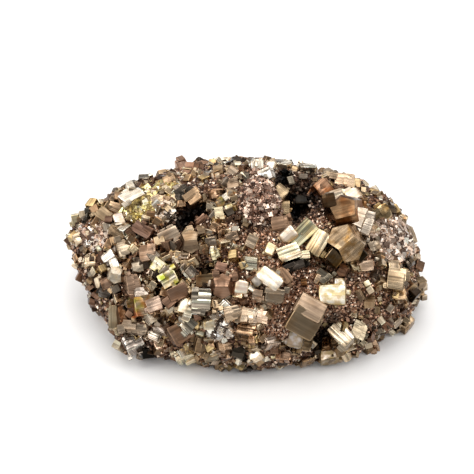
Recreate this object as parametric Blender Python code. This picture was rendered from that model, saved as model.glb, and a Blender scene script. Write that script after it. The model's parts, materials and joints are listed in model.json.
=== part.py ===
# Pyrite specimen: a hand-sized cluster of striated cubes, bars and pyritohedra grown together on a lumpy
# mass with open cavities between them, trimmed flat underneath so that it stands.
#
# Everything is in metres once it is built. The numbers below are in millimetres and degrees.
# The origin is the middle of the trimmed base, with +X to the right, +Y to the back and +Z up.

import math

import bmesh
import bpy
import numpy as np
from mathutils import Matrix, Vector
from mathutils.bvhtree import BVHTree

MM = 0.001

# Driving dimensions of the mass that the crystals grow from
MASS_HALF_WIDTH = 50.5
MASS_HALF_DEPTH = 33.5
MASS_HALF_HEIGHT = 25.5
MIDDLE_HEIGHT = 13.0  # of the mass's middle above the trimmed base
LEFT_END_TAPER = 0.16  # how much narrower the left end is than the middle
MASS_FACES = 1900  # the mass's triangles before the crystals are joined to it
TRIM_DEPTH = 30.0  # thickness of the block that the saw cut removes

# The display face is laid out as it is seen from an eye in front of the specimen and above it.
# A place on it is (across, up): millimetres right of and above the mass's middle, on a plane through
# that middle which faces the eye.
EYE_ELEVATION = 42.0
EYE_DISTANCE = 450.0
EYE_ACROSS = -2.7
EYE_UP = 7.8

# Lumps and cavities of the display face: (across, up, radius, height), a cavity's height being negative
DISPLAY_RELIEF = [
    (4.6, 18.2, 6.6, 6.6),  # the drusy knob
    (4.4, 26.0, 4.6, 3.4),  # its upper lobe
    (31.0, 13.0, 11.0, 3.2),  # the boss that the amber crystals crown
    (-31.0, 16.5, 7.0, 1.8),  # the yellow crust
    (44.5, 7.5, 8.0, 1.8),  # the grey crust
    (15.0, 21.5, 5.2, -10.0),  # the large cavity behind the bars
    (16.5, 16.0, 5.0, -9.0),
    (21.0, 19.0, 6.5, -6.0),
    (-21.0, 11.4, 3.6, -10.0),  # the black cavity on the left
    (-17.4, 13.8, 3.6, -10.0),
    (-13.6, 16.0, 2.8, -7.0),
    (-12.5, -2.5, 4.0, -5.0),  # the pocket with a crystal deep inside it
    (-26.5, -8.4, 2.4, -5.0),
    (23.0, -22.5, 3.8, -9.0),  # the black cavity in front
    (30.0, -18.0, 5.0, -2.5),
    (48.0, -1.2, 2.4, -4.5),
    (24.0, 0.5, 4.0, -3.0),
    (-52.0, 13.0, 9.0, 6.0),  # the left end points up and to the left
    (-40.0, 23.0, 9.0, 3.0),
    (-51.0, -5.0, 6.0, -3.5),
    (50.0, -16.0, 10.0, 4.5),  # and the right end is blunt
    (43.0, 21.0, 9.0, 3.4),
]

# Lumps of the lower rim, sides and back: (x, y, z, radius, height)
OTHER_RELIEF = [
    (-30.0, -23.0, -10.0, 10.0, 6.5),
    (4.0, -30.0, -8.0, 18.0, 2.2),
    (32.0, -25.0, -10.0, 11.0, 4.0),
    (-25.0, 28.0, 6.0, 14.0, 3.0),
    (24.0, 30.0, 2.0, 13.0, 2.5),
    (2.0, 33.0, -4.0, 7.0, -4.0),
    (-46.0, 12.0, -2.0, 9.0, -2.5),
    (49.0, 12.0, -4.0, 9.0, -2.0),
]
ROUGHNESS_BUMPS = 170
ROUGHNESS_HEIGHT = 1.3
ROUGHNESS_RADIUS = 4.2

# Crystals of the display face: (across, up, wide, tall, turn), and then where it was given
# (lean to the right, lean up), the way the front face looks from facing the eye.
CUBES = [
    # left end
    (-53.7, 13.2, 2.8, 2.8, 5), (-51.0, 13.2, 3.6, 3.6, 15), (-46.6, 13.6, 3.8, 3.6, -10),
    (-42.8, 13.8, 4.4, 3.8, -40), (-38.8, 16.7, 3.8, 3.6, -20), (-37.7, 13.0, 3.4, 4.0, 22, -8, 6),
    (-34.6, 7.3, 3.6, 3.4, 40), (-36.7, 4.4, 3.8, 5.0, 15, 12, 10), (-40.5, 1.7, 4.2, 3.2, 35),
    (-33.4, 4.4, 2.6, 2.6, 50), (-28.8, 2.7, 4.8, 4.8, 8, -14, 12), (-46.6, 0.2, 3.6, 3.0, 5),
    (-31.9, -1.3, 3.4, 3.0, 10), (-41.8, -6.1, 3.2, 3.0, 20), (-41.7, -8.6, 4.0, 4.0, -15),
    (-34.2, -6.5, 4.2, 6.0, 10), (-31.5, -9.3, 3.8, 3.0, 0), (-30.9, -13.2, 5.8, 5.6, 8, 15, 12),
    (-36.7, -16.1, 3.8, 5.0, 0), (-27.1, -12.8, 4.8, 4.0, 20, -12, 15), (-42.4, -17.1, 4.8, 4.8, -30),
    (-38.7, -23.0, 4.4, 3.4, -15), (-33.3, -24.0, 6.0, 4.8, 28, -10, 20), (-25.4, -19.7, 4.2, 3.4, -15),
    (-27.1, -21.9, 3.8, 2.8, -20), (-25.6, -24.8, 3.4, 3.2, 20), (-29.7, -26.7, 3.8, 3.0, 5),
    (-50.0, 7.0, 3.6, 3.4, 25), (-49.0, -5.0, 4.2, 3.8, -20), (-46.5, -11.5, 4.4, 4.2, 15),
    # left middle
    (-30.8, 9.3, 6.2, 3.6, -30, -10, 18), (-23.1, 7.5, 6.2, 4.6, 28, 6, 12), (-18.1, 19.8, 5.0, 5.0, 45, -12, 24),
    (-12.9, 13.0, 5.4, 4.6, 38, -20, -10), (-10.8, 25.9, 3.4, 3.2, 30), (-8.9, 20.9, 4.2, 2.8, 5),
    (-15.6, 27.4, 4.6, 4.2, 0), (-4.3, 20.7, 3.8, 2.8, -8), (-3.9, 27.3, 3.4, 3.2, -35),
    (-0.9, 25.3, 3.0, 3.0, 0), (-3.4, 23.6, 3.8, 3.0, 10), (-10.4, 17.1, 2.6, 3.4, -15),
    (-8.1, 14.2, 2.6, 4.2, 5), (-8.5, 11.0, 3.2, 2.6, -30), (-3.8, 7.9, 3.8, 2.8, 22),
    (-7.6, 8.9, 2.6, 2.6, -5), (-10.6, 6.4, 3.2, 3.2, 10), (2.0, 6.5, 3.2, 3.8, -25),
    (-25.4, -1.1, 4.4, 3.8, -30), (-22.5, -5.0, 5.0, 4.6, 30, -18, 8), (-20.6, -8.9, 6.4, 4.2, 25, 10, 5),
    (-17.0, -3.0, 4.8, 3.8, -42), (-18.1, 1.7, 3.4, 2.8, 0), (-15.4, 1.4, 2.6, 3.0, 20),
    (-12.2, -5.4, 5.0, 3.6, 5, 0, 8), (-8.5, 2.7, 2.6, 3.2, 20), (-7.2, -1.3, 3.2, 3.0, -15),
    (-26.0, 18.5, 3.4, 3.0, 25), (-29.5, 13.0, 3.2, 3.0, -15), (-22.5, 24.5, 3.8, 3.4, 20),
    # front middle
    (-1.6, -7.3, 4.2, 4.2, -10, 8, 6), (-13.5, -11.1, 5.8, 6.4, -3, 4, 8), (-18.1, -12.8, 3.2, 4.6, -15, -20, 8),
    (-6.4, -12.8, 3.8, 3.2, 45), (-3.8, -15.1, 5.4, 4.0, 15, 4, 12), (0.6, -15.6, 4.2, 3.2, -12, 8, 14),
    (4.6, -16.4, 3.2, 3.6, -12, 8, 14), (-17.0, -18.5, 3.8, 4.4, -42, -4, 10), (-11.0, -18.2, 4.4, 3.0, 5),
    (-20.2, -20.6, 5.8, 5.4, 30, 14, 4), (-0.1, -20.4, 5.2, 4.2, -10), (1.8, 0.2, 3.8, 3.8, -5),
    (6.8, 3.7, 2.8, 4.0, -30), (3.8, -9.3, 3.2, 3.4, -15), (8.5, -9.4, 5.6, 4.2, -8, 4, -10),
    (7.4, -23.6, 4.2, 3.6, 10), (-18.4, -27.4, 5.6, 4.4, 20, -6, 20), (-13.5, -24.5, 4.4, 4.6, -10),
    (-6.4, -25.2, 3.8, 4.0, 5), (-10.4, -27.8, 4.0, 3.4, 10), (-2.4, -27.0, 3.8, 3.4, -20),
    (3.0, -27.6, 3.8, 3.2, 30), (11.5, -27.8, 4.0, 3.4, -10), (-23.1, -28.5, 3.4, 3.0, 10),
    # right side
    (10.4, 20.7, 4.2, 4.4, -40, -10, 15), (11.6, 16.4, 3.6, 4.2, 0, -6, 6), (10.4, 11.4, 5.0, 4.2, 10, -6, 12),
    (22.7, 22.0, 4.6, 5.0, 40, 14, 12), (30.3, 24.6, 5.8, 4.6, -8, 0, 22), (33.8, 24.3, 3.4, 3.8, -5, 18, 14),
    (31.8, 19.6, 4.8, 4.4, 35, 14, 26), (27.6, 19.3, 4.2, 4.6, 20, -14, 22), (40.7, 14.6, 4.4, 4.4, 30, 10, 14),
    (18.9, -14.2, 8.8, 9.6, -30, 10, 16), (26.4, -9.0, 7.0, 6.4, 0, -8, 12), (23.4, -4.0, 3.8, 3.8, -35),
    (35.5, -0.8, 4.2, 3.0, 5), (32.7, -1.3, 2.8, 2.8, 20), (44.7, -4.6, 6.0, 3.6, -8, 14, 14),
    (42.8, -7.2, 3.6, 3.2, -5), (45.8, -9.4, 4.0, 4.4, 5), (43.6, -1.6, 3.6, 3.2, 0),
    (28.8, -22.4, 6.4, 6.2, -35, -14, 18), (33.4, -21.0, 4.4, 5.2, -28), (24.9, -28.0, 6.0, 4.6, 5, 0, 24),
    (41.1, -21.8, 5.0, 3.8, 5), (38.0, 5.0, 3.2, 3.0, 25), (47.5, 13.5, 3.8, 3.6, -20), (18.0, -28.5, 4.2, 3.6, 15),
]

# Bars, long across their turn
BARS = [
    (-38.8, 8.5, 5.0, 2.6, -30, 0, 20), (-39.4, -16.1, 7.6, 2.8, 92, -6, 0), (-32.9, -19.7, 7.4, 3.0, -5, 0, 20),
    (17.5, 8.5, 7.8, 4.6, 48, -14, 6), (13.2, 8.9, 5.6, 3.6, 42, -18, 4), (21.7, 7.3, 7.2, 5.0, 48, -10, 10),
    (13.1, 2.5, 6.8, 5.0, 20, -4, 28), (11.2, -3.8, 5.2, 3.0, -52, 12, 8), (7.2, -5.0, 7.8, 5.0, -38, -6, 12),
]

# Rounder crystals: (across, up, width, turn, lean to the right, lean up)
PYRITOHEDRA = [
    (-16.5, 6.0, 6.0, 5, 0, 14), (-38.8, -3.8, 4.6, -10, 0, 12), (-6.8, -6.9, 6.2, 0, -8, 0),
    (30.0, 14.6, 9.6, 15, -6, -8), (35.0, 12.6, 6.0, -20, 12, 6), (29.7, 5.6, 10.0, 40, 0, 4),
    (16.1, -22.8, 6.4, -20, -14, 18), (28.8, -2.3, 3.4, -25, 0, 10), (37.4, 10.0, 3.0, 10, 0, 0),
]

# A pyritohedron is a cube of half width 1 with a roof ridge over each face. The ridge stands this far from
# the middle and ends this far from its own middle, and 2.6 of these units make the crystal about 1 across.
RIDGE_HEIGHT = 1.5
RIDGE_END = 0.75
PYRITOHEDRON_SCALE = 1 / 2.6

# Crystals of the sides, back and rim follow a spiral round the mass
SPIRAL_COUNT = 390
SPIRAL_SMALLEST = 3.6
SPIRAL_LARGEST = 6.8
DISPLAY_MARGIN = 4.6  # how near the spiral's crystals come to the display face's, in millimetres
DISPLAY_FACING = 0.5  # the display face ends where the mass faces the eye by less than this cosine
RIM_FACING = 0.35  # nearer to edge on than this the crystals are small
RIM_SHRINK = 0.7

# Every few places along the spiral, behind, a block of the mass itself stands out as a ledge
LEDGE_STEP = 11
LEDGE_FACING = -0.3  # ledges begin where the mass faces away from the eye by this cosine
LEDGE_SIZE = 11.0
LEDGE_SINK = 0.3  # of its size, how far a ledge's middle is under the mass's surface
CRYSTAL_RISE = 0.14  # of its size, how far a crystal's middle is above it
BACK_LEAN = 35.0  # the most that a crystal there leans from square on to the mass

BRASS_COLOUR = (0.56, 0.47, 0.33, 1.0)


def eye_axes():
    """The display face's own axes: right, up and towards the eye."""
    angle = math.radians(EYE_ELEVATION)
    right = Vector((1, 0, 0))
    up = Vector((0, math.sin(angle), math.cos(angle)))
    return right, up, right.cross(up)


RIGHT, UP, TOWARDS = eye_axes()
EYE = RIGHT * EYE_ACROSS + UP * EYE_UP + TOWARDS * EYE_DISTANCE


def plain_radius(directions):
    """Distance from the middle to the smooth, left-tapered ellipsoid along each unit direction."""
    taper = 1 - LEFT_END_TAPER * np.clip(-directions[:, 0], 0, 1) ** 2
    scaled = directions / [MASS_HALF_WIDTH, MASS_HALF_DEPTH, MASS_HALF_HEIGHT]
    scaled[:, 1:] /= taper[:, None]
    return 1 / np.linalg.norm(scaled, axis=1)


def on_display(across, up):
    """The point of the smooth ellipsoid that the eye sees at this place, found by closing in on it. Beyond
    its outline that is the point straight beneath the place."""
    target = RIGHT * across + UP * up
    ray = (target - EYE).normalized()
    near, far = 0.0, EYE_DISTANCE
    for _ in range(40):
        half = (near + far) / 2
        point = np.array(target - ray * half)[None]
        outside = np.linalg.norm(point) > plain_radius(point / np.linalg.norm(point))[0]
        near, far = (near, half) if outside else (half, far)
    direction = (target - ray * near).normalized()
    return direction * plain_radius(np.array(direction)[None])[0]


def spiral_directions(count):
    """Unit directions spread evenly over the sphere on a golden-angle spiral."""
    index = np.arange(count) + 0.5
    height = 1 - 2 * index / count
    angle = index * math.pi * (3 - math.sqrt(5))
    flat = np.sqrt(1 - height**2)
    return np.stack([flat * np.cos(angle), flat * np.sin(angle), height], axis=1)


def relief_bumps():
    """Every lump, cavity and small bump as (place, radius, height) arrays."""
    bumps = [(*on_display(across, up), radius, height) for across, up, radius, height in DISPLAY_RELIEF]
    bumps += OTHER_RELIEF
    spots = spiral_directions(ROUGHNESS_BUMPS)
    spots *= plain_radius(spots)[:, None]
    for index, spot in enumerate(spots):
        height = ROUGHNESS_HEIGHT * math.sin(index * 2.4)
        radius = ROUGHNESS_RADIUS * (1 + 0.3 * math.sin(index * 1.7))
        bumps.append((*spot, radius, height))
    table = np.array(bumps)
    return table[:, :3], table[:, 3], table[:, 4]


def mass_radius(directions):
    """The smooth ellipsoid plus a bell-shaped rise or dip round each bump."""
    radius = plain_radius(directions)
    surface = directions * radius[:, None]
    for place, width, height in zip(*relief_bumps()):
        distance = np.linalg.norm(surface - place, axis=1)
        radius = radius + height * np.exp(-((distance / width) ** 2))
    return radius


def mass_mesh():
    """The lumpy mass about its own middle, in millimetres: an icosphere pushed out to the mass's radius."""
    mesh = bpy.data.meshes.new("mass")
    shape = bmesh.new()
    bmesh.ops.create_icosphere(shape, subdivisions=6, radius=1)
    directions = np.array([vertex.co.normalized() for vertex in shape.verts])
    points = directions * mass_radius(directions)[:, None]
    for vertex, point in zip(shape.verts, points):
        vertex.co = point
    shape.to_mesh(mesh)
    shape.free()
    return mesh


def wobble(across, up):
    """A lean for crystals given without one. It varies with the place, as if by chance."""
    return 26 * math.sin(across * 1.7 + up * 2.3), 10 + 22 * math.sin(across * 2.9 - up * 1.3)


def facing_eye(turn, lean_right, lean_up):
    """Rotation of a crystal whose front face leans this far from facing the eye."""
    view = Matrix((RIGHT, UP, TOWARDS)).transposed().to_4x4()
    lean = Matrix.Rotation(math.radians(lean_right), 4, "Y") @ Matrix.Rotation(-math.radians(lean_up), 4, "X")
    return view @ lean @ Matrix.Rotation(math.radians(turn), 4, "Z")


def cube_points():
    """The eight corners of a cube of side 1."""
    return [Vector((x, y, z)) / 2 for x in (-1, 1) for y in (-1, 1) for z in (-1, 1)]


def pyritohedron_points():
    """The 20 corners of pyrite's twelve-faced crystal, about 1 across: a cube's corners and a roof ridge
    over each of its faces."""
    corners = [point * 2 for point in cube_points()]
    for first in (-1, 1):
        for second in (-1, 1):
            ridge, end = first * RIDGE_HEIGHT, second * RIDGE_END
            corners += [Vector((0, ridge, end)), Vector((ridge, end, 0)), Vector((end, 0, ridge))]
    return [corner * PYRITOHEDRON_SCALE for corner in corners]


def add_crystal(shape, corners, size, matrix):
    """Adds the closed convex crystal round these corners, sized and placed, to the bmesh."""
    sizing = Matrix.Diagonal((*size, 1.0))
    fresh = [shape.verts.new(matrix @ sizing @ corner) for corner in corners]
    hull = bmesh.ops.convex_hull(shape, input=fresh, use_existing_faces=False)
    edges = [part for part in hull["geom"] if isinstance(part, bmesh.types.BMEdge)]
    bmesh.ops.dissolve_limit(shape, angle_limit=math.radians(1), verts=fresh, edges=edges)


def seat(surface, across, up, depth):
    """Where a crystal's middle goes: on the mass where the eye sees this place, raised a little towards it."""
    target = RIGHT * across + UP * up
    hit, _, _, _ = surface.ray_cast(EYE, (target - EYE).normalized())
    if hit is None:
        hit, _, _, _ = surface.ray_cast(Vector((0, 0, 0)), target.normalized())
    return hit + (EYE - hit).normalized() * depth * CRYSTAL_RISE


def display_crystals(shape, surface):
    """The crystals that were laid out by hand."""
    for across, up, wide, tall, turn, *lean in CUBES + BARS:
        deep = (wide + tall) / 2
        matrix = facing_eye(turn, *(lean or wobble(across, up)))
        matrix.translation = seat(surface, across, up, deep)
        add_crystal(shape, cube_points(), (wide, tall, deep), matrix)
    for across, up, width, turn, *lean in PYRITOHEDRA:
        matrix = facing_eye(turn, *lean)
        matrix.translation = seat(surface, across, up, width)
        add_crystal(shape, pyritohedron_points(), (width, width, width), matrix)


def seen_place(point):
    """(across, up) at which the eye sees a point."""
    offset = point - EYE
    reach = EYE_DISTANCE / -offset.dot(TOWARDS)
    on_plane = EYE + offset * reach
    return on_plane.dot(RIGHT), on_plane.dot(UP)


def facing_of(point):
    """How squarely the smooth ellipsoid faces the eye beneath a point: the cosine of the angle between its
    normal and the sight line."""
    normal = Vector((point.x / MASS_HALF_WIDTH**2, point.y / MASS_HALF_DEPTH**2, point.z / MASS_HALF_HEIGHT**2))
    return normal.normalized().dot((EYE - point).normalized())


def back_crystals(shape, surface):
    """Crystals and ledges along the spiral, wherever the display face isn't."""
    laid_out = [(row[0], row[1]) for row in CUBES + BARS + PYRITOHEDRA]
    for index, direction in enumerate(spiral_directions(SPIRAL_COUNT)):
        hit, normal, _, _ = surface.ray_cast(Vector((0, 0, 0)), Vector(direction))
        facing = facing_of(hit)
        across, up = seen_place(hit)
        nearest = min(math.hypot(across - a, up - u) for a, u in laid_out)
        if hit.z < -MIDDLE_HEIGHT - 1 or facing > DISPLAY_FACING or (facing > 0 and nearest < DISPLAY_MARGIN):
            continue
        share = (1 + math.sin(index * 5.3)) / 2
        size = SPIRAL_SMALLEST + (SPIRAL_LARGEST - SPIRAL_SMALLEST) * share**2
        if abs(facing) < RIM_FACING:
            size *= RIM_SHRINK
        rise = CRYSTAL_RISE
        if index % LEDGE_STEP == 0 and facing < LEDGE_FACING:
            size, rise = LEDGE_SIZE, -LEDGE_SINK
        tilt = Matrix.Rotation(math.radians(BACK_LEAN * math.sin(index * 3.1)), 4, "X")
        spin = Matrix.Rotation(index * 2.1, 4, "Z")
        matrix = normal.to_track_quat("Z", "Y").to_matrix().to_4x4() @ tilt @ spin
        matrix.translation = hit + normal * size * rise
        add_crystal(shape, cube_points(), (size, size * (0.8 + 0.2 * math.sin(index)), size), matrix)


def finished(name, mesh):
    """An object in the scene whose mesh, so far in millimetres about the middle, stands on the ground."""
    mesh.transform(Matrix.Translation((0, 0, MIDDLE_HEIGHT)))
    mesh.transform(Matrix.Scale(MM, 4))
    item = bpy.data.objects.new(name, mesh)
    bpy.context.scene.collection.objects.link(item)
    return item


def guide(item):
    """Marks an object as a helper that the modifiers use and the model doesn't show."""
    item.hide_render = True
    item.display_type = "WIRE"
    return item


def brassy(item):
    """Gives an object pyrite's pale brass."""
    material = bpy.data.materials.new("pyrite")
    material.use_nodes = True
    shader = material.node_tree.nodes["Principled BSDF"]
    shader.inputs["Base Color"].default_value = BRASS_COLOUR
    shader.inputs["Metallic"].default_value = 1.0
    shader.inputs["Roughness"].default_value = 0.3
    item.data.materials.append(material)


def join_and_trim(mass, crystals, block):
    """Thins the mass's triangles, fuses the crystals to it, and saws the base flat."""
    thin = mass.modifiers.new("thin", "DECIMATE")
    thin.ratio = MASS_FACES / len(mass.data.polygons)
    fuse = mass.modifiers.new("fuse", "BOOLEAN")
    fuse.operation = "UNION"
    fuse.object = crystals
    fuse.use_self = True
    trim = mass.modifiers.new("trim", "BOOLEAN")
    trim.operation = "DIFFERENCE"
    trim.object = block


def sawn_block():
    """The block under the base that the saw cut takes away."""
    mesh = bpy.data.meshes.new("sawn_block")
    shape = bmesh.new()
    size = (3 * MASS_HALF_WIDTH, 3 * MASS_HALF_WIDTH, TRIM_DEPTH, 1)
    middle = Matrix.Translation((0, 0, -MIDDLE_HEIGHT - TRIM_DEPTH / 2))
    bmesh.ops.create_cube(shape, size=1, matrix=middle @ Matrix.Diagonal(size))
    shape.to_mesh(mesh)
    shape.free()
    return guide(finished("sawn_block", mesh))


def shells(shape):
    """The bmesh's faces in groups that touch one another."""
    left = set(shape.faces)
    while left:
        shell, edge_of_search = set(), [left.pop()]
        while edge_of_search:
            face = edge_of_search.pop()
            shell.add(face)
            beside = {other for edge in face.edges for other in edge.link_faces} & left
            left -= beside
            edge_of_search += beside
        yield shell


def fill_sealed_pockets(item):
    """Makes the modifiers' result the object's own mesh, without the pockets that crystals closed in."""
    evaluated = item.evaluated_get(bpy.context.evaluated_depsgraph_get())
    mesh = bpy.data.meshes.new_from_object(evaluated)
    shape = bmesh.new()
    shape.from_mesh(mesh)
    pockets = sorted(shells(shape), key=len)[:-1]
    for pocket in pockets:
        bmesh.ops.delete(shape, geom=list(pocket), context="FACES")
    shape.to_mesh(mesh)
    shape.free()
    item.modifiers.clear()
    item.data = mesh


def main():
    for item in list(bpy.data.objects):
        bpy.data.objects.remove(item)
    mesh = mass_mesh()
    shape = bmesh.new()
    shape.from_mesh(mesh)
    surface = BVHTree.FromBMesh(shape)
    shape.free()
    shape = bmesh.new()
    display_crystals(shape, surface)
    back_crystals(shape, surface)
    bmesh.ops.recalc_face_normals(shape, faces=shape.faces)
    crystal_mesh = bpy.data.meshes.new("crystals")
    shape.to_mesh(crystal_mesh)
    shape.free()
    crystals = guide(finished("crystals", crystal_mesh))
    mass = finished("pyrite_cluster", mesh)
    brassy(mass)
    join_and_trim(mass, crystals, sawn_block())
    fill_sealed_pockets(mass)


main()
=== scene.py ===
# Pyrite specimen: the finish of a hand-sized cluster of striated cubes, bars and rounder crystals
# on a mass of brown druse with dark cavities.
# Sizes are in millimetres about the middle of the mass and angles in degrees, until a mesh is made.

import json

import bmesh
import bpy
import numpy as np
from mathutils import Matrix, Vector

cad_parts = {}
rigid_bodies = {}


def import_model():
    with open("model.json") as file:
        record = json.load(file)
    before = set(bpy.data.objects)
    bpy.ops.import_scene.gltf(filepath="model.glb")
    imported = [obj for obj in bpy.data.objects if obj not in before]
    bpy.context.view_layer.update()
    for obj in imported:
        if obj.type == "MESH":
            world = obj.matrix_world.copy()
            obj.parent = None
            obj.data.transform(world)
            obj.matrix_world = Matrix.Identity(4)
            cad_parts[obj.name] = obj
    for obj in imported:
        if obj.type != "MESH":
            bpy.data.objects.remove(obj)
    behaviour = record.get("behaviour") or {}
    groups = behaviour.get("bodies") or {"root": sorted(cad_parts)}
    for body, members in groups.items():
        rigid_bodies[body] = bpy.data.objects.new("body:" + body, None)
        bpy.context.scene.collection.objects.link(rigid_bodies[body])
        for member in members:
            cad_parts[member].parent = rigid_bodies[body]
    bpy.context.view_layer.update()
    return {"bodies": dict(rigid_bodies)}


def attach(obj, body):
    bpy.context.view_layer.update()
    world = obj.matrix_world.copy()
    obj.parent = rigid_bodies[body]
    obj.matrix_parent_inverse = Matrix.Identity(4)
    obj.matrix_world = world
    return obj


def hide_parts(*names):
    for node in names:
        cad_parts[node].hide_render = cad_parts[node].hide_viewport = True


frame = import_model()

bodyName, = frame["bodies"]
mm = 0.001

# The display face is laid out as the camera sees it. A place on it is (across, up): millimetres right of
# and above the middle of the mass, on a plane through that middle which faces the camera.
eye = {
    "elevation": 42.0,
    "distance": 450.0,
    "across": -2.7,
    "up": 7.8,
    "seenWidth": 142.2,  # what the picture's width takes in at the mass's middle
    "sensor": 36.0,
}
tilt = np.radians(eye["elevation"])
rightAxis = np.array([1.0, 0.0, 0.0])
upAxis = np.array([0.0, np.sin(tilt), np.cos(tilt)])
towardsAxis = np.cross(rightAxis, upAxis)
eyePoint = rightAxis * eye["across"] + upAxis * eye["up"] + towardsAxis * eye["distance"]

# The mass: an ellipsoid that narrows to the left, with lumps and cavities
mass = {
    "halfSize": (50.5, 33.5, 25.5),
    "middleHeight": 13.0,  # above the sawn base
    "leftTaper": 0.16,
    "displayRelief": [  # across, up, radius, height, a cavity's height being negative
        (4.6, 18.2, 6.6, 6.6), (4.4, 26.0, 4.6, 3.4), (31.0, 13.0, 11.0, 3.2), (-31.0, 16.5, 7.0, 1.8),
        (44.5, 7.5, 8.0, 1.8), (15.0, 21.5, 5.2, -10.0), (16.5, 16.0, 5.0, -9.0), (21.0, 19.0, 6.5, -6.0),
        (-21.0, 11.4, 3.6, -10.0), (-17.4, 13.8, 3.6, -10.0), (-13.6, 16.0, 2.8, -7.0),
        (-12.5, -2.5, 4.0, -5.0), (-26.5, -8.4, 2.4, -5.0), (23.0, -22.5, 3.8, -9.0),
        (30.0, -18.0, 5.0, -2.5), (48.0, -1.2, 2.4, -4.5), (24.0, 0.5, 4.0, -3.0), (-52.0, 13.0, 9.0, 6.0),
        (-40.0, 23.0, 9.0, 3.0), (-51.0, -5.0, 6.0, -3.5), (50.0, -16.0, 10.0, 4.5), (43.0, 21.0, 9.0, 3.4),
    ],
    "otherRelief": [  # x, y, z, radius, height
        (-30.0, -23.0, -10.0, 10.0, 6.5), (4.0, -30.0, -8.0, 18.0, 2.2), (32.0, -25.0, -10.0, 11.0, 4.0),
        (-25.0, 28.0, 6.0, 14.0, 3.0), (24.0, 30.0, 2.0, 13.0, 2.5), (2.0, 33.0, -4.0, 7.0, -4.0),
        (-46.0, 12.0, -2.0, 9.0, -2.5), (49.0, 12.0, -4.0, 9.0, -2.0),
    ],
    "knobs": [(4.8, 18.4, 6.4, 30), (4.4, 25.8, 3.9, 12)],  # the grainy mounds: across, up, radius, lumps
    "knobLumpRadius": 1.25,
    "knobLumpHeight": 0.85,
    "knobSink": 1.1,  # what the mound itself gives up to its lumps
    "paintedShadePatches": [  # across, up, half length, half width, turn, depth: painted shade that darkens the cavities and the shadows beside the knob and the big crystals
        (-16.3, 14.2, 8.4, 4.0, 30, 0.985), (10.8, 24.8, 3.8, 2.8, 60, 0.98),
        (15.0, 14.6, 3.8, 2.8, 70, 0.995), (17.5, 20.0, 7.8, 6.8, 0, 0.76), (-26.7, -8.4, 2.4, 1.8, 0, 0.9),
        (-12.3, -3.6, 3.6, 2.4, 0, 0.85), (22.8, -23.1, 5.0, 2.8, 60, 0.97), (48.0, -1.2, 2.2, 1.5, 90, 0.9),
        (-3.0, -31.0, 4.0, 1.5, 0, 0.5), (29.4, -4.4, 3.4, 2.0, 0, 0.8), (25.2, -18.0, 2.6, 4.2, -30, 0.75),
        (8.4, 11.8, 6.0, 1.8, 10, 0.7), (12.6, 18.0, 1.6, 4.4, 0, 0.6), (-2.4, 12.6, 4.0, 1.4, -35, 0.5),
    ],
    "bumps": 170,
    "bumpHeight": 1.3,
    "bumpRadius": 4.2,
    "grid": 116,  # squares along each side of its cube-shaped grid
    "fineHeight": 0.22,  # of its fine roughness
    "fineLength": 1.7,
    "finePhase": 0.4,
    "colour": (64, 44, 36),
    "patchColour": (92, 74, 60),
    "patchesPerMm": 0.12,
    "speckShade": (0.45, 0.42, 0.4),  # of the darkest cells
    "pitsPerMm": 2.0,
    "pitDepth": 0.3,
    "metallic": 0.6,
    "roughness": 0.62,
}


# Colours are picked on the 0 to 255 scale of a screen; a shader wants them linear
def linear(colour):
    share = np.asarray(colour, float) / 255
    return np.where(share <= 0.04045, share / 12.92, ((share + 0.055) / 1.055) ** 2.4)


# Distance from the middle to the plain ellipsoid: 1 / |direction / half sizes|, the left end narrowed
def plainRadius(directions):
    narrowed = 1 - mass["leftTaper"] * np.clip(-directions[:, 0], 0, 1) ** 2
    scaled = directions / mass["halfSize"]
    scaled[:, 1:] /= narrowed[:, None]
    return 1 / np.linalg.norm(scaled, axis=1)


# Unit directions on a golden-angle spiral: heights evenly spaced, each turned 137.5 degrees from the last
def spiral(count):
    index = np.arange(count) + 0.5
    height = 1 - 2 * index / count
    angle = index * np.pi * (3 - np.sqrt(5))
    flat = np.sqrt(1 - height**2)
    return np.stack([flat * np.cos(angle), flat * np.sin(angle), height], axis=1)


# The plane's points at these places
def onPlane(places):
    places = np.asarray(places, float)
    return places[:, :1] * rightAxis + places[:, 1:2] * upAxis


sightWalk = {"reach": 46.0, "step": 0.5, "halvings": 12}


# Where sight lines from the eye first meet a radius function's surface: walked in even steps, then halved.
# A line that misses takes the surface beneath its place on the plane.
def seenOn(radiusOf, places):
    targets = onPlane(places)
    rays = targets - eyePoint
    rays /= np.linalg.norm(rays, axis=1)[:, None]
    steps = np.arange(-sightWalk["reach"], sightWalk["reach"], sightWalk["step"])
    points = targets[:, None] + rays[:, None] * steps[None, :, None]
    distance = np.linalg.norm(points, axis=2)
    gap = distance - radiusOf((points / distance[..., None]).reshape(-1, 3)).reshape(distance.shape)
    inside = gap < 0
    hit = inside.any(axis=1)
    first = np.where(hit, inside.argmax(axis=1), np.argmin(np.abs(steps)))
    near, far = steps[np.maximum(first - 1, 0)], steps[first]
    for _ in range(sightWalk["halvings"]):
        middle = (near + far) / 2
        points = targets + rays * middle[:, None]
        distance = np.linalg.norm(points, axis=1)
        outside = distance > radiusOf(points / distance[:, None])
        near, far = np.where(outside, middle, near), np.where(outside, far, middle)
    directions = targets + rays * np.where(hit, far, 0)[:, None]
    directions /= np.linalg.norm(directions, axis=1)[:, None]
    return directions * radiusOf(directions)[:, None]


# Small lumps on the grainy mounds, on a golden-angle spiral: reach = radius * sqrt(share), and 137.5 degrees
# from one to the next
def knobLumps():
    rows = []
    for across, up, radius, count in mass["knobs"]:
        index = np.arange(count)
        reach = radius * np.sqrt((index + 0.5) / count)
        angle = index * np.pi * (3 - np.sqrt(5))
        flat = np.ones(count)
        rows.append(np.column_stack([across + reach * np.cos(angle), up + reach * np.sin(angle),
                                     flat * mass["knobLumpRadius"], flat * mass["knobLumpHeight"]]))
        rows.append([(across, up, radius, -mass["knobSink"])])
    return np.vstack(rows)


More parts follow.
